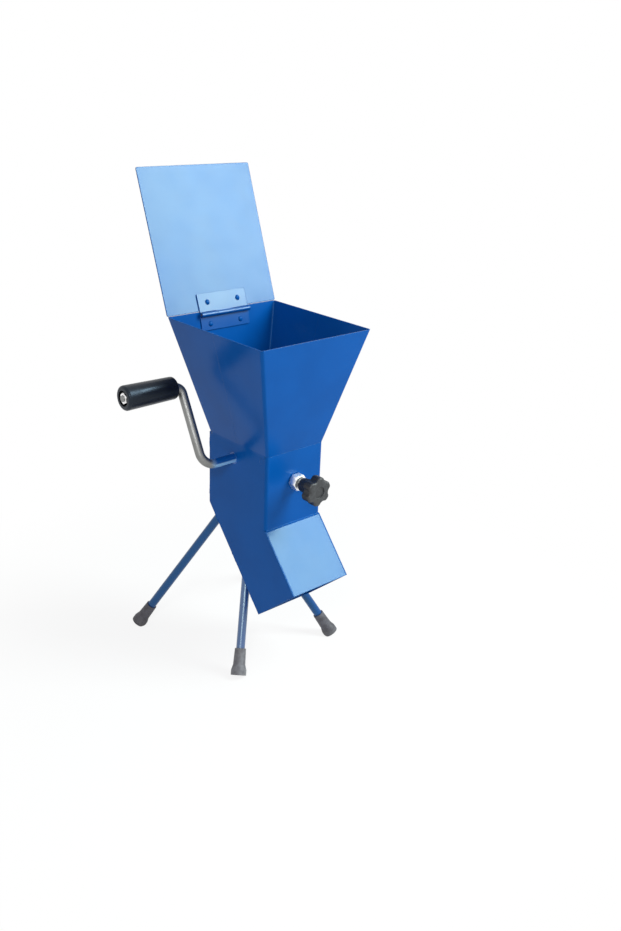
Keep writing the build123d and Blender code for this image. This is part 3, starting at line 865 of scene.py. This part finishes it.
class Shop:
    """Makes every finish once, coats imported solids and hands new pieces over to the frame."""

    def __init__(self) -> None:
        """Make the finishes."""
        self.enamel = GlossEnamel().make()
        self.lid_enamel = self.sheet_enamel("blue_lid_enamel", (0.76, 1.0, 0.92, 1), 0.325)
        self.hinge_enamel = self.sheet_enamel("blue_hinge_enamel", (0.80, 1.0, 0.90, 1), 0.42)
        self.cover_enamel = self.sheet_enamel("blue_cover_enamel", (0.68, 1.0, 0.95, 1), 0.26)
        # Painted shade: the legs' enamel is the body's blue made darker
        rod = GlossEnamel(colour=(0.001, 0.048, 0.205, 1), deep=(0.001, 0.042, 0.185, 1), level=0.60)
        self.shaded_rod_enamel = replace(rod, name="blue_shaded_rod_enamel").make()
        self.shaded_rod_gloss = replace(rod, coat=0.80, name="blue_shaded_rod_gloss").make()
        self.zinc = ZincBar(shaft_z=middle("shaft_bush_left").z).make()
        self.bright = BrightPlate().make()
        self.grip = GripPlastic(axis_z=middle("grip").z).make()
        self.knob = KnobPlastic(face_y=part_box("knob")[0].y).make()
        self.rubber = CapRubber().make()
        # Painted shade: a darker copy of the cap rubber, for the caps that stand in shade
        self.shaded_rubber = CapRubber(
            colour=(0.095, 0.092, 0.108, 1),
            dark=(0.058, 0.055, 0.066, 1),
            dust=(0.17, 0.16, 0.155, 1),
            name="shade_painted_cap_rubber",
        ).make()
        self.iron = BareIron().make()
        self.brass = BushBrass().make()

    @staticmethod
    def sheet_enamel(name: str, sheen: Colour, level: float) -> bpy.types.Material:
        """Make the enamel of a sheet that shines in its own way."""
        return GlossEnamel(sheen=sheen, level=level, name=name).make()

    @staticmethod
    def coat(finish: bpy.types.Material, *nodes: str) -> None:
        """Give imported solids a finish.

        Args:
            finish: the material.
            nodes: the solids' names.
        """
        for name in nodes:
            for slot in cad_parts[name].material_slots:
                slot.material = finish
            LOG.info("dressed %s with %s", name, finish.name)

    @staticmethod
    def deliver(
        piece: bpy.types.Object,
        finish: bpy.types.Material,
        slot: Slot,
        body: Body,
        *stands_for: str,
    ) -> None:
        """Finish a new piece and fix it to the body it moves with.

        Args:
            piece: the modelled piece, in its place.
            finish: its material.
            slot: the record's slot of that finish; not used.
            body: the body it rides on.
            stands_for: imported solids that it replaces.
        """
        piece.data.materials.clear()
        piece.data.materials.append(finish)
        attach(piece, body.value)
        if stands_for:
            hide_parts(*stands_for)
        LOG.info("built %s, %d faces", piece.name, len(piece.data.polygons))

    def weld(self, bead: bpy.types.Object) -> None:
        """Paint a weld and fix it to the frame."""
        self.deliver(bead, self.enamel, Slot.BLUE_PAINT, Body.FRAME)


@dataclass(frozen=True)
class WeldLine:
    """Where a weld runs: the corners of its line and the way the sheet faces at each."""

    points: Sequence[Vector]
    faces: Sequence[Vector]


@dataclass(frozen=True)
class Station:
    """One ripple's place on a weld: its point, the way the weld runs and the way it faces."""

    point: Vector
    run: Vector
    face: Vector


@dataclass(frozen=True)
class WeldBead:
    """A hand-laid weld: overlapping ripples, melted together and painted over."""

    width: float
    height: float
    pitch: float
    seed: int
    voxel: float = 0.00042
    root: float = 0.45
    overlap: float = 1.2
    crown: float = 0.6
    push: float = 0.4
    widths: Range = (0.86, 1.12)
    heights: Range = (0.80, 1.16)

    def stations(self, line: WeldLine) -> list[Station]:
        """Space ripples evenly along a line.

        Args:
            line: where the weld runs.

        Returns:
            The ripples' places.
        """
        points, faces = line.points, line.faces
        lengths = [(end - start).length for start, end in zip(points, points[1:])]
        count = max(1, round(sum(lengths) / self.pitch))
        step = sum(lengths) / count
        found = []
        stretch, before = 0, 0.0
        for number in range(count):
            way = (number + 0.5) * step
            while stretch < len(lengths) - 1 and way > before + lengths[stretch]:
                before += lengths[stretch]
                stretch += 1
            share = (way - before) / lengths[stretch]
            run = (points[stretch + 1] - points[stretch]).normalized()
            face = faces[stretch].lerp(faces[stretch + 1], share)
            face = (face - run * face.dot(run)).normalized()
            found.append(Station(points[stretch].lerp(points[stretch + 1], share), run, face))
        return found

    def ripple(self) -> bpy.types.Object:
        """Model one ripple: a dome cut flat below the sheet, its crown pushed along the run.

        Returns:
            The ripple, at the origin.
        """
        Bench.clear()
        bpy.ops.mesh.primitive_uv_sphere_add(segments=12, ring_count=8, radius=1.0)
        ripple = bpy.context.object
        bpy.ops.object.mode_set(mode="EDIT")
        bpy.ops.mesh.select_all(action="SELECT")
        bpy.ops.mesh.bisect(plane_co=(0, 0, -self.root), plane_no=Z_WAY, use_fill=True, clear_inner=True)
        bpy.ops.mesh.select_all(action="SELECT")
        size = (self.width / 2, self.pitch * self.overlap, self.height)
        bpy.ops.transform.resize(value=size, center_override=ORIGIN)
        Bench.put_down()
        Bench.pick(ripple, Pick.POINTS, lambda point: point.z > self.crown * self.height)
        bpy.ops.transform.translate(value=(0, self.push * self.pitch, 0))
        Bench.put_down()
        return ripple

    def lay(self, name: str, lines: Sequence[WeldLine], shift: int = 0) -> bpy.types.Object:
        """Lay a weld.

        Args:
            name: the piece's name.
            lines: where it runs.
            shift: added to the seed, so that welds of one kind differ.

        Returns:
            The weld as one piece.
        """
        ripple = self.ripple()
        hand = random.Random(self.seed + shift)
        copies = []
        for station in (one for line in lines for one in self.stations(line)):
            across = station.run.cross(station.face)
            turn = Matrix((across, station.run, station.face)).transposed().to_4x4()
            size = Matrix.Diagonal((hand.uniform(*self.widths), 1, hand.uniform(*self.heights), 1))
            copy = ripple.copy()
            copy.data = ripple.data.copy()
            copy.data.transform(Matrix.Translation(station.point) @ turn @ size)
            bpy.context.collection.objects.link(copy)
            copies.append(copy)
        bpy.data.objects.remove(ripple)
        bead = copies[0]
        Bench.hold(bead)
        for copy in copies:
            copy.select_set(True)
        bpy.ops.object.join()
        bead.name = name
        Bench.apply(bead, "REMESH", mode="VOXEL", voxel_size=self.voxel)
        Bench.apply(bead, "SMOOTH", factor=0.5, iterations=2)
        Bench.smooth(bead, angle=80)
        return bead


@dataclass(frozen=True)
class HexNut:
    """A hexagon nut with chamfered corners and a bore."""

    flats: float
    thick: float
    bore: float
    both_ends: bool = True
    land_share: float = 0.475
    blank_share: float = 1.02
    chamfer: float = radians(30)
    edge: float = 0.00025

    @property
    def corner(self) -> float:
        """Give the radius of the hexagon's corners."""
        return self.flats / sqrt(3)

    def blank(self) -> bpy.types.Object:
        """Model the turned blank that trims the hexagon: a disc with a cone at each chamfered end.

        Returns:
            The blank.
        """
        wide = self.corner * self.blank_share
        land = self.land_share * self.flats
        drop = (wide - land) * tan(self.chamfer)
        base = drop if self.both_ends else 0.0
        top = self.thick - drop
        blank = Bench.rod(wide, base, top, sides=64)
        ends = [(top, drop), (base, -drop)] if self.both_ends else [(top, drop)]
        for level, move in ends:
            Bench.pick(blank, Pick.FACES, lambda face: abs(face.z - level) < HAIR)
            bpy.ops.mesh.extrude_region_move(TRANSFORM_OT_translate={"value": (0, 0, move)})
            bpy.ops.transform.resize(value=(land / wide, land / wide, 1), center_override=ORIGIN)
            Bench.put_down()
        return blank

    def model(self, name: str) -> bpy.types.Object:
        """Model the nut along Z from the origin, a corner towards X.

        Args:
            name: the piece's name.

        Returns:
            The nut.
        """
        nut = Bench.rod(self.corner, 0.0, self.thick, sides=6)
        nut.name = name
        point = max(nut.data.vertices, key=lambda one: one.co.x)
        angle = point.co.to_2d().angle_signed(X_WAY.to_2d())
        nut.data.transform(Matrix.Rotation(-angle, 4, "Z"))
        Bench.combine(nut, self.blank(), Merge.TRIM)
        Bench.combine(nut, Bench.rod(self.bore, -CUT_PAST, self.thick + CUT_PAST), Merge.CUT)
        Bench.round_edges(nut, self.edge, angle=25)
        Bench.clean(nut)
        Bench.smooth(nut, angle=40)
        return nut

    @classmethod
    def instead(cls, node: str, name: str, flats: float, bore: float, axis: Vector) -> bpy.types.Object:
        """Model a nut where a packed one sits, with its corners where that one has them.

        Args:
            node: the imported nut.
            name: the new piece's name.
            flats: the width across its flats.
            bore: the radius of its bore.
            axis: the way it is set along, one of the frame's axes.

        Returns:
            The nut in its place.
        """
        low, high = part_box(node)
        size = high - low
        nut = cls(flats, abs(size.dot(axis)), bore).model(name)
        across = [way for way in (X_WAY, Y_WAY, Z_WAY) if not way.dot(axis)]
        Bench.stand(nut, entry(node, axis), axis, max(across, key=size.dot))
        return nut


@dataclass(frozen=True)
class SheetBox:
    """The outline of the housing and its chute, which the welds and the legs follow."""

    half_width: float = 0.048
    half_depth: float = 0.060
    neck: float = 0.314
    bend: float = 0.210
    slope: float = radians(49.5)

    @property
    def down(self) -> Vector:
        """Point down the chute."""
        return Vector((0, -cos(self.slope), -sin(self.slope)))

    @property
    def under(self) -> Vector:
        """Point out of the chute's underside."""
        return Vector((0, sin(self.slope), -cos(self.slope)))

    def underside(self, x: float, y: float) -> Vector:
        """Give the point of the chute's underside over a place on the floor."""
        return Vector((x, y, self.bend - (self.half_depth - y) * tan(self.slope)))


class SubAssembly(ABC):
    """A group of pieces that is built and dressed together."""

    def build(self, shop: Shop) -> None:
        """Model the group's new pieces, where it has any."""

    @abstractmethod
    def dress(self, shop: Shop) -> None:
        """Finish the group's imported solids."""


@dataclass
class Hopper(SubAssembly):
    """The flared hopper of two folded halves, welded to the housing's top, the weld ground hollow."""

    box: SheetBox = SheetBox()
    fold: float = 0.004
    fold_steps: int = 6
    seam_steps: int = 5
    seam_reach: float = 0.004
    seam_curve: float = 13.6
    seam_root: float = -0.0008
    seam_lip: float = -0.00003

    def seam_section(self) -> list[Vector]:
        """Draw the weld's section at the start of the right side: a hollow face and a root in the sheet.

        Returns:
            The section's points, in order.
        """
        reach = self.seam_reach
        rises = [reach * (2 * step / self.seam_steps - 1) for step in range(self.seam_steps + 1)]
        section = [(self.seam_lip + self.seam_curve * (rise + reach) ** 2, rise) for rise in rises]
        section += [(self.seam_root, reach), (self.seam_root, -reach)]
        start = Vector((self.box.half_width, self.fold - self.box.half_depth, self.box.neck))
        return [start + X_WAY * out + Z_WAY * rise for out, rise in section]

    def neck_seam(self) -> bpy.types.Object:
        """Model the weld: its section drawn along the four sides and spun round the four folds.

        Returns:
            The weld.
        """
        section = self.seam_section()
        Bench.clear()
        bpy.ops.mesh.primitive_circle_add(vertices=len(section), fill_type="NOTHING")
        seam = bpy.context.object
        seam.name = "neck_weld"
        for point, place in zip(seam.data.vertices, section):
            point.co = place
        Bench.pick(seam, Pick.EDGES, lambda edge: True)
        x, y = self.box.half_width - self.fold, self.box.half_depth - self.fold
        corners = [Vector((x, -y, 0)), Vector((x, y, 0)), Vector((-x, y, 0)), Vector((-x, -y, 0))]
        for here, there in zip(corners, corners[1:] + corners[:1]):
            bpy.ops.mesh.extrude_region_move(TRANSFORM_OT_translate={"value": there - here})
            bpy.ops.mesh.spin(steps=self.fold_steps, angle=radians(90), center=there, axis=Z_WAY)
        Bench.put_down()
        Bench.clean(seam)
        Bench.pick(seam, Pick.FACES, lambda face: True)
        bpy.ops.mesh.normals_make_consistent(inside=False)
        Bench.put_down()
        # Rounding decides which way the faces of so thin a ring are turned, so one of them is looked at
        outer = max(seam.data.polygons, key=lambda face: face.center.x)
        if outer.normal.x < 0:
            seam.data.flip_normals()
        Bench.smooth(seam, angle=30)
        return seam

    def build(self, shop: Shop) -> None:
        """Make the hopper's weld."""
        shop.weld(self.neck_seam())

    def dress(self, shop: Shop) -> None:
        """Paint the hopper's halves."""
        shop.coat(shop.enamel, "hopper_front_half", "hopper_back_half")


@dataclass
class Housing(SubAssembly):
    """The folded housing with its chute, back plate and cover, stitched together with short welds."""

    box: SheetBox = SheetBox()
    front_bead: WeldBead = WeldBead(width=0.0040, height=0.0008, pitch=0.0017, seed=12)
    front_inset: float = 0.002
    stitch_bead: WeldBead = WeldBead(width=0.0042, height=0.0011, pitch=0.0020, seed=20)
    stitch_inset: float = 0.0015
    stitch_lean: float = 0.25
    stitch_length: float = 0.013
    corner_heights: tuple[float, ...] = (0.222, 0.258, 0.292)
    floor_starts: tuple[float, ...] = (0.018, 0.078, 0.138)

    def front_line(self) -> WeldLine:
        """Follow the joint of the front wall with the chute's cover.

        Returns:
            The line.
        """
        face = (-Y_WAY - self.box.under).normalized()
        reach = self.box.half_width - self.front_inset
        ends = [Vector((x, -self.box.half_depth, self.box.bend)) for x in (-reach, reach)]
        return WeldLine(ends, [face, face])

    def stitches(self, side: Side) -> list[WeldLine]:
        """Place the short welds down one rear corner and along the chute's floor.

        Args:
            side: which side they are on.

        Returns:
            A line for each weld.
        """
        out = X_WAY * side.value
        corner = out * (self.box.half_width - self.stitch_inset) + Y_WAY * self.box.half_depth
        bend = corner + Z_WAY * self.box.bend
        lines = []
        for foot, run, face, starts in (
            (corner, Z_WAY, Y_WAY, self.corner_heights),
            (bend, self.box.down, self.box.under, self.floor_starts),
        ):
            lean = (face + out * self.stitch_lean).normalized()
            for start in starts:
                ends = [foot + run * way for way in (start, start + self.stitch_length)]
                lines.append(WeldLine(ends, [lean, lean]))
        return lines

    def build(self, shop: Shop) -> None:
        """Lay the housing's welds.

        Args:
            shop: the finishes.
        """
        shop.weld(self.front_bead.lay("front_weld", [self.front_line()]))
        for side in Side:
            name = f"rear_stitches_{side.word}"
            shop.weld(self.stitch_bead.lay(name, self.stitches(side), side.value))

    def dress(self, shop: Shop) -> None:
        """Paint the sheets and finish the shaft's bushes.

        Args:
            shop: the finishes.
        """
        shop.coat(shop.enamel, "housing", "back_plate", "rear_deflector")
        shop.coat(shop.cover_enamel, "chute_cover")
        shop.coat(shop.brass, "shaft_bush_left", "shaft_bush_right")


@dataclass(frozen=True)
class LegPair:
    """Two legs that mirror each other: where their axes meet the floor and the chute's underside."""

    end: End
    foot: tuple[float, float]
    top: tuple[float, float]


@dataclass
class LegSet(SubAssembly):
    """Four rod legs, each welded to the chute's underside and shod with a rubber cap."""

    box: SheetBox = SheetBox()
    radius: float = 0.006
    front: LegPair = LegPair(End.FRONT, (0.088, -0.058), (0.013, 0.015))
    rear: LegPair = LegPair(End.REAR, (0.118, 0.143), (0.027, 0.050))
    bead: WeldBead = WeldBead(width=0.0046, height=0.0015, pitch=0.0021, seed=30)
    ring_steps: int = 24

    def ring(self, pair: LegPair, side: Side) -> WeldLine:
        """Follow the weld round a leg's top.

        Args:
            pair: the leg and its mirror image.
            side: which of the two it is.

        Returns:
            The ring.
        """
        low = Vector((side.value * pair.foot[0], pair.foot[1], 0))
        high = self.box.underside(side.value * pair.top[0], pair.top[1])
        up, under = (high - low).normalized(), self.box.under
        first = up.cross(Z_WAY).normalized()
        second = up.cross(first)
        points, faces = [], []
        for step in range(self.ring_steps + 1):
            turn = 2 * pi * step / self.ring_steps
            out = first * cos(turn) + second * sin(turn)
            offset = out * self.radius
            points.append(high + offset - up * (offset.dot(under) / up.dot(under)))
            faces.append((out + under).normalized())
        return WeldLine(points, faces)

    def build(self, shop: Shop) -> None:
        """Weld each leg to the chute.

        Args:
            shop: the finishes.
        """
        for pair in (self.front, self.rear):
            for side in Side:
                name = f"leg_weld_{pair.end.value}_{side.word}"
                shop.weld(self.bead.lay(name, [self.ring(pair, side)], side.value))

    def dress(self, shop: Shop) -> None:
        """Paint the legs and finish the caps; the front left leg is glossier, all legs take a darker blue
        as painted shade, and every cap but the front left one takes a darker rubber as painted shade.

        Args:
            shop: the finishes.
        """
        for pair in (self.front, self.rear):
            for side in Side:
                place = f"{pair.end.value}_{side.word}"
                # Painted shade: every cap but the front left one takes the darker rubber
                glossy_leg_unshaded_cap = pair.end is End.FRONT and side is Side.LEFT
                shop.coat(shop.shaded_rod_gloss if glossy_leg_unshaded_cap else shop.shaded_rod_enamel, f"leg_{place}")
                shop.coat(shop.rubber if glossy_leg_unshaded_cap else shop.shaded_rubber, f"cap_{place}")


@dataclass
class LidSet(SubAssembly):
    """The sheet lid and its painted butt hinge."""

    def dress(self, shop: Shop) -> None:
        """Paint the lid, the leaves and their rivets, and finish the pin.

        Args:
            shop: the finishes.
        """
        shop.coat(shop.lid_enamel, "lid")
        shop.coat(shop.hinge_enamel, "hinge_lid_leaf", "hinge_wall_leaf")
        shop.coat(shop.enamel, "hinge_lid_rivets", "hinge_wall_rivets")
        shop.coat(shop.zinc, "hinge_pin")


@dataclass
class CrankSet(SubAssembly):
    """The bent bar with its turning grip, washer and nut."""

    nut_flats: float = 0.013
    nut_bore: float = 0.00405

    def build(self, shop: Shop) -> None:
        """Model the nut in the grip's end."""
        nut = HexNut.instead("grip_nut", "grip_end_nut", self.nut_flats, self.nut_bore, -X_WAY)
        shop.deliver(nut, shop.bright, Slot.BRIGHT_PLATE, Body.CRANK, "grip_nut")

    def dress(self, shop: Shop) -> None:
        """Finish the bar, grip and washer."""
        shop.coat(shop.zinc, "crank_bar", "grip_washer")
        shop.coat(shop.grip, "grip")


@dataclass
class CrackingSet(SubAssembly):
    """The fluted roller, the ribbed jaw and the pad that sets it."""

    def dress(self, shop: Shop) -> None:
        """Finish the cracking pieces and their pins.

        Args:
            shop: the finishes.
        """
        shop.coat(shop.iron, "roller", "jaw")
        shop.coat(shop.zinc, "roller_pin", "thrust_pad")
        shop.coat(shop.enamel, "jaw_pin")


@dataclass
class AdjusterSet(SubAssembly):
    """The knob on its threaded screw, the threaded bush through the front wall and the nut behind it."""

    screw_radius: float = 0.005
    screw_root: float = 0.00415
    screw_pitch: float = 0.0015
    screw_sides: int = 36
    cuts_a_turn: int = 8
    root_share: float = 1.25
    nose_radius: float = 0.003
    nose_length: float = 0.006
    nose_chamfer: float = 0.0006
    collar_radius: float = 0.009
    collar_thick: float = 0.0015
    collar_edge: float = 0.0004
    hex_flats: float = 0.020
    hex_thick: float = 0.011
    shank_radius: float = 0.007
    overlap: float = 0.0005
    bore: float = 0.00505
    nut_flats: float = 0.021
    nut_bore: float = 0.00705

    def cut_thread(self, screw: bpy.types.Object, length: float) -> None:
        """Press a helical thread into a rod's points, running out at both ends.

        Args:
            screw: the rod, along Z from the origin.
            length: how far the thread goes.
        """
        depth = self.screw_radius - self.screw_root
        for point in screw.data.vertices:
            flat, height = point.co.to_2d(), point.co.z
            if flat.length < self.screw_radius - HAIR or height > length + HAIR:
                continue
            turn = flat.angle_signed(X_WAY.to_2d()) / (2 * pi)
            wave = abs(2 * ((height / self.screw_pitch + turn) % 1) - 1)
            ends = min(height, length - height) / self.screw_pitch
            cut = max(min(self.root_share * wave, 1), 1 - min(ends, 1))
            point.co.xy = flat.normalized() * (self.screw_radius - depth * cut)
        screw.data.update()

    def screw(self) -> bpy.types.Object:
        """Model the screw: a rod with a turned nose and a helical thread.

        Returns:
            The screw in its place.
        """
        low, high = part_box("adjusting_screw")
        length = high.y - low.y - self.nose_length
        screw = Bench.rod(self.screw_radius, 0.0, length, self.screw_sides)
        screw.name = "threaded_screw"
        Bench.pick(screw, Pick.EDGES, lambda edge: abs(edge.z - length / 2) < HAIR)
        bpy.ops.mesh.subdivide(number_cuts=round(length / self.screw_pitch) * self.cuts_a_turn)
        Bench.put_down()
        Bench.pick(screw, Pick.FACES, lambda face: face.z > length - HAIR)
        bpy.ops.mesh.inset(thickness=self.screw_radius - self.nose_radius)
        bpy.ops.mesh.extrude_region_move(TRANSFORM_OT_translate={"value": (0, 0, self.nose_length)})
        bpy.ops.mesh.bevel(offset=self.nose_chamfer, segments=2, affect="EDGES")
        Bench.put_down()
        self.cut_thread(screw, length)
        Bench.smooth(screw, angle=30)
        Bench.stand(screw, entry("adjusting_screw", Y_WAY), Y_WAY, X_WAY)
        return screw

    def bush(self) -> bpy.types.Object:
        """Model the bush: collar, chamfered hexagon and shank in one, bored through.

        Returns:
            The bush in its place.
        """
        low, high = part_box("screw_bush")
        end = self.hex_thick - (high.y - low.y)
        bush = HexNut(self.hex_flats, self.hex_thick, self.bore, both_ends=False).model("hex_bush")
        shank = Bench.rod(self.shank_radius, end, self.overlap)
        collar = Bench.rod(self.collar_radius, -self.collar_thick, self.overlap)
        Bench.round_edges(collar, self.collar_edge, angle=40)
        Bench.combine(collar, shank, Merge.JOIN)
        Bench.combine(collar, Bench.rod(self.bore, end - CUT_PAST, CUT_PAST), Merge.CUT)
        Bench.combine(bush, collar, Merge.JOIN)
        Bench.clean(bush)
        Bench.smooth(bush, angle=40)
        Bench.stand(bush, entry("screw_bush", Y_WAY) + Y_WAY * self.hex_thick, -Y_WAY, X_WAY)
        return bush

    def build(self, shop: Shop) -> None:
        """Model the screw, its bush and the nut behind the wall.

        Args:
            shop: the finishes.
        """
        shop.deliver(self.screw(), shop.zinc, Slot.ZINC_STEEL, Body.ADJUSTER, "adjusting_screw")
        shop.deliver(self.bush(), shop.bright, Slot.BRIGHT_PLATE, Body.FRAME, "screw_bush")
        nut = HexNut.instead("bush_nut", "bush_back_nut", self.nut_flats, self.nut_bore, Y_WAY)
        shop.deliver(nut, shop.bright, Slot.BRIGHT_PLATE, Body.FRAME, "bush_nut")

    def dress(self, shop: Shop) -> None:
        """Finish the knob."""
        shop.coat(shop.knob, "knob")


@dataclass(frozen=True)
class Softbox:
    """A rectangular soft light: its direction from the object, distance, size, radiance and tint.

    A radiance of 1 is white.
    """

    name: str
    way: tuple[float, float, float]
    distance: float
    size: tuple[float, float]
    radiance: float
    tint: tuple[float, float, float] = (1.0, 1.0, 1.0)
    aim: float = 0.3

    def hang(self) -> None:
        """Hang the light so that it faces the object's middle."""
        bpy.ops.object.light_add(type="AREA")
        light = bpy.context.object
        light.name = self.name
        light.data.shape = "RECTANGLE"
        light.data.size, light.data.size_y = self.size
        light.data.energy = self.radiance * pi * self.size[0] * self.size[1]
        light.data.color = self.tint
        out = Vector(self.way).normalized()
        turn = out.to_track_quat("Z", "Y").to_matrix().to_4x4()
        light.matrix_world = Matrix.Translation(Z_WAY * self.aim + out * self.distance) @ turn


@dataclass
class Studio:
    """A pale floor, a large soft light at the front right, a small one near the camera, and the camera."""

    azimuth: float = radians(-43.338)
    elevation: float = radians(22.7)
    roll: float = radians(2.556)
    distance: float = 1.360065
    target: tuple[float, float, float] = (0.084333, 0.0, 0.250542)
    focal_pixels: float = 961.506
    picture_height: float = 931.0
    sensor: float = 36.0
    lamps: tuple[Softbox, ...] = (
        Softbox("main_softbox", (0.53, -0.58, 0.62), 1.8, (0.64, 1.15), 18.5, (0.88, 1.0, 0.98)),
        Softbox("near_softbox", (-0.62, -0.56, 0.54), 1.9, (0.36, 0.30), 33.0),
    )
    surround: float = 0.40
    floor_radius: float = 40.0
    floor_sides: int = 96
    floor_colour: Colour = (0.86, 0.86, 0.86, 1)
    shaded_white: float = 0.86
    shade_edge: Range = (0.22, 0.60)

    def camera(self) -> None:
        """Set the camera at the photograph's viewing angle."""
        flat = cos(self.elevation)
        back = Vector((sin(self.azimuth) * flat, -cos(self.azimuth) * flat, sin(self.elevation)))
        level = Vector((cos(self.azimuth), sin(self.azimuth), 0))
        rise = back.cross(level)
        right = level * cos(self.roll) + rise * sin(self.roll)
        up = rise * cos(self.roll) - level * sin(self.roll)
        bpy.ops.object.camera_add()
        camera = bpy.context.object
        camera.data.sensor_width = self.sensor
        camera.data.lens = self.focal_pixels * self.sensor / self.picture_height
        turn = Matrix((right, up, back)).transposed().to_4x4()
        camera.matrix_world = Matrix.Translation(Vector(self.target) + back * self.distance) @ turn
        bpy.context.scene.camera = camera

    @staticmethod
    def seen(graph: Graph) -> Value:
        """Tell the rays of the camera, of reflections and of clear pieces from those of light.

        Args:
            graph: the node tree that asks.

        Returns:
            1 for those rays, 0 for light.
        """
        kinds = ("Camera", "Glossy", "Transmission")
        first, second, third = (graph.node("ShaderNodeLightPath", out=f"Is {kind} Ray") for kind in kinds)
        return first.at_least(second).at_least(third)

    def world(self) -> None:
        """Make the surroundings white to see and reflect, and dimmer as a light."""
        scene = bpy.context.scene
        scene.world = bpy.data.worlds.new("pale_studio")
        scene.world.use_nodes = True
        graph = Graph(scene.world.node_tree)
        white = graph.node("ShaderNodeBackground", None, {"Color": WHITE, "Strength": 1.0})
        dim = graph.node("ShaderNodeBackground", None, {"Color": WHITE, "Strength": self.surround})
        both = graph.node("ShaderNodeMixShader", None, {0: self.seen(graph), 1: dim, 2: white})
        graph.node("ShaderNodeOutputWorld", None, {"Surface": both})
        scene.view_settings.view_transform = "Standard"

    def floor(self) -> None:
        """Lay a pale floor that keeps the shadow near the object and turns white further out."""
        Bench.clear()
        bpy.ops.mesh.primitive_circle_add(
            vertices=self.floor_sides, radius=self.floor_radius, fill_type="NGON"
        )
        floor = bpy.context.object
        floor.name = "studio_floor"
        skin = Surface("pale_floor")
        far = skin.node("ShaderNodeVectorMath", {"operation": "LENGTH"}, {0: skin.place}, "Value")
        shade = self.shaded_white + (1 - self.shaded_white) * skin.ease(far, *self.shade_edge)
        matt = skin.node("ShaderNodeBsdfDiffuse", None, {"Color": self.floor_colour})
        glow = skin.node("ShaderNodeEmission", None, {"Color": WHITE, "Strength": 1.0})
        both = skin.node("ShaderNodeMixShader", None, {0: self.seen(skin) * shade, 1: matt, 2: glow})
        skin.node("ShaderNodeOutputMaterial", None, {"Surface": both})
        floor.data.materials.append(skin.material)

    def build(self) -> None:
        """Set up the whole studio."""
        self.world()
        self.floor()
        for lamp in self.lamps:
            lamp.hang()
        self.camera()


def main() -> None:
    """Build and dress the cracker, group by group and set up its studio."""
    logging.basicConfig(level=logging.INFO, format="%(message)s")
    shop = Shop()
    for group in (Hopper(), Housing(), LegSet(), LidSet(), CrankSet(), CrackingSet(), AdjusterSet()):
        group.build(shop)
        group.dress(shop)
    Studio().build()


if __name__ == "__main__":
    main()
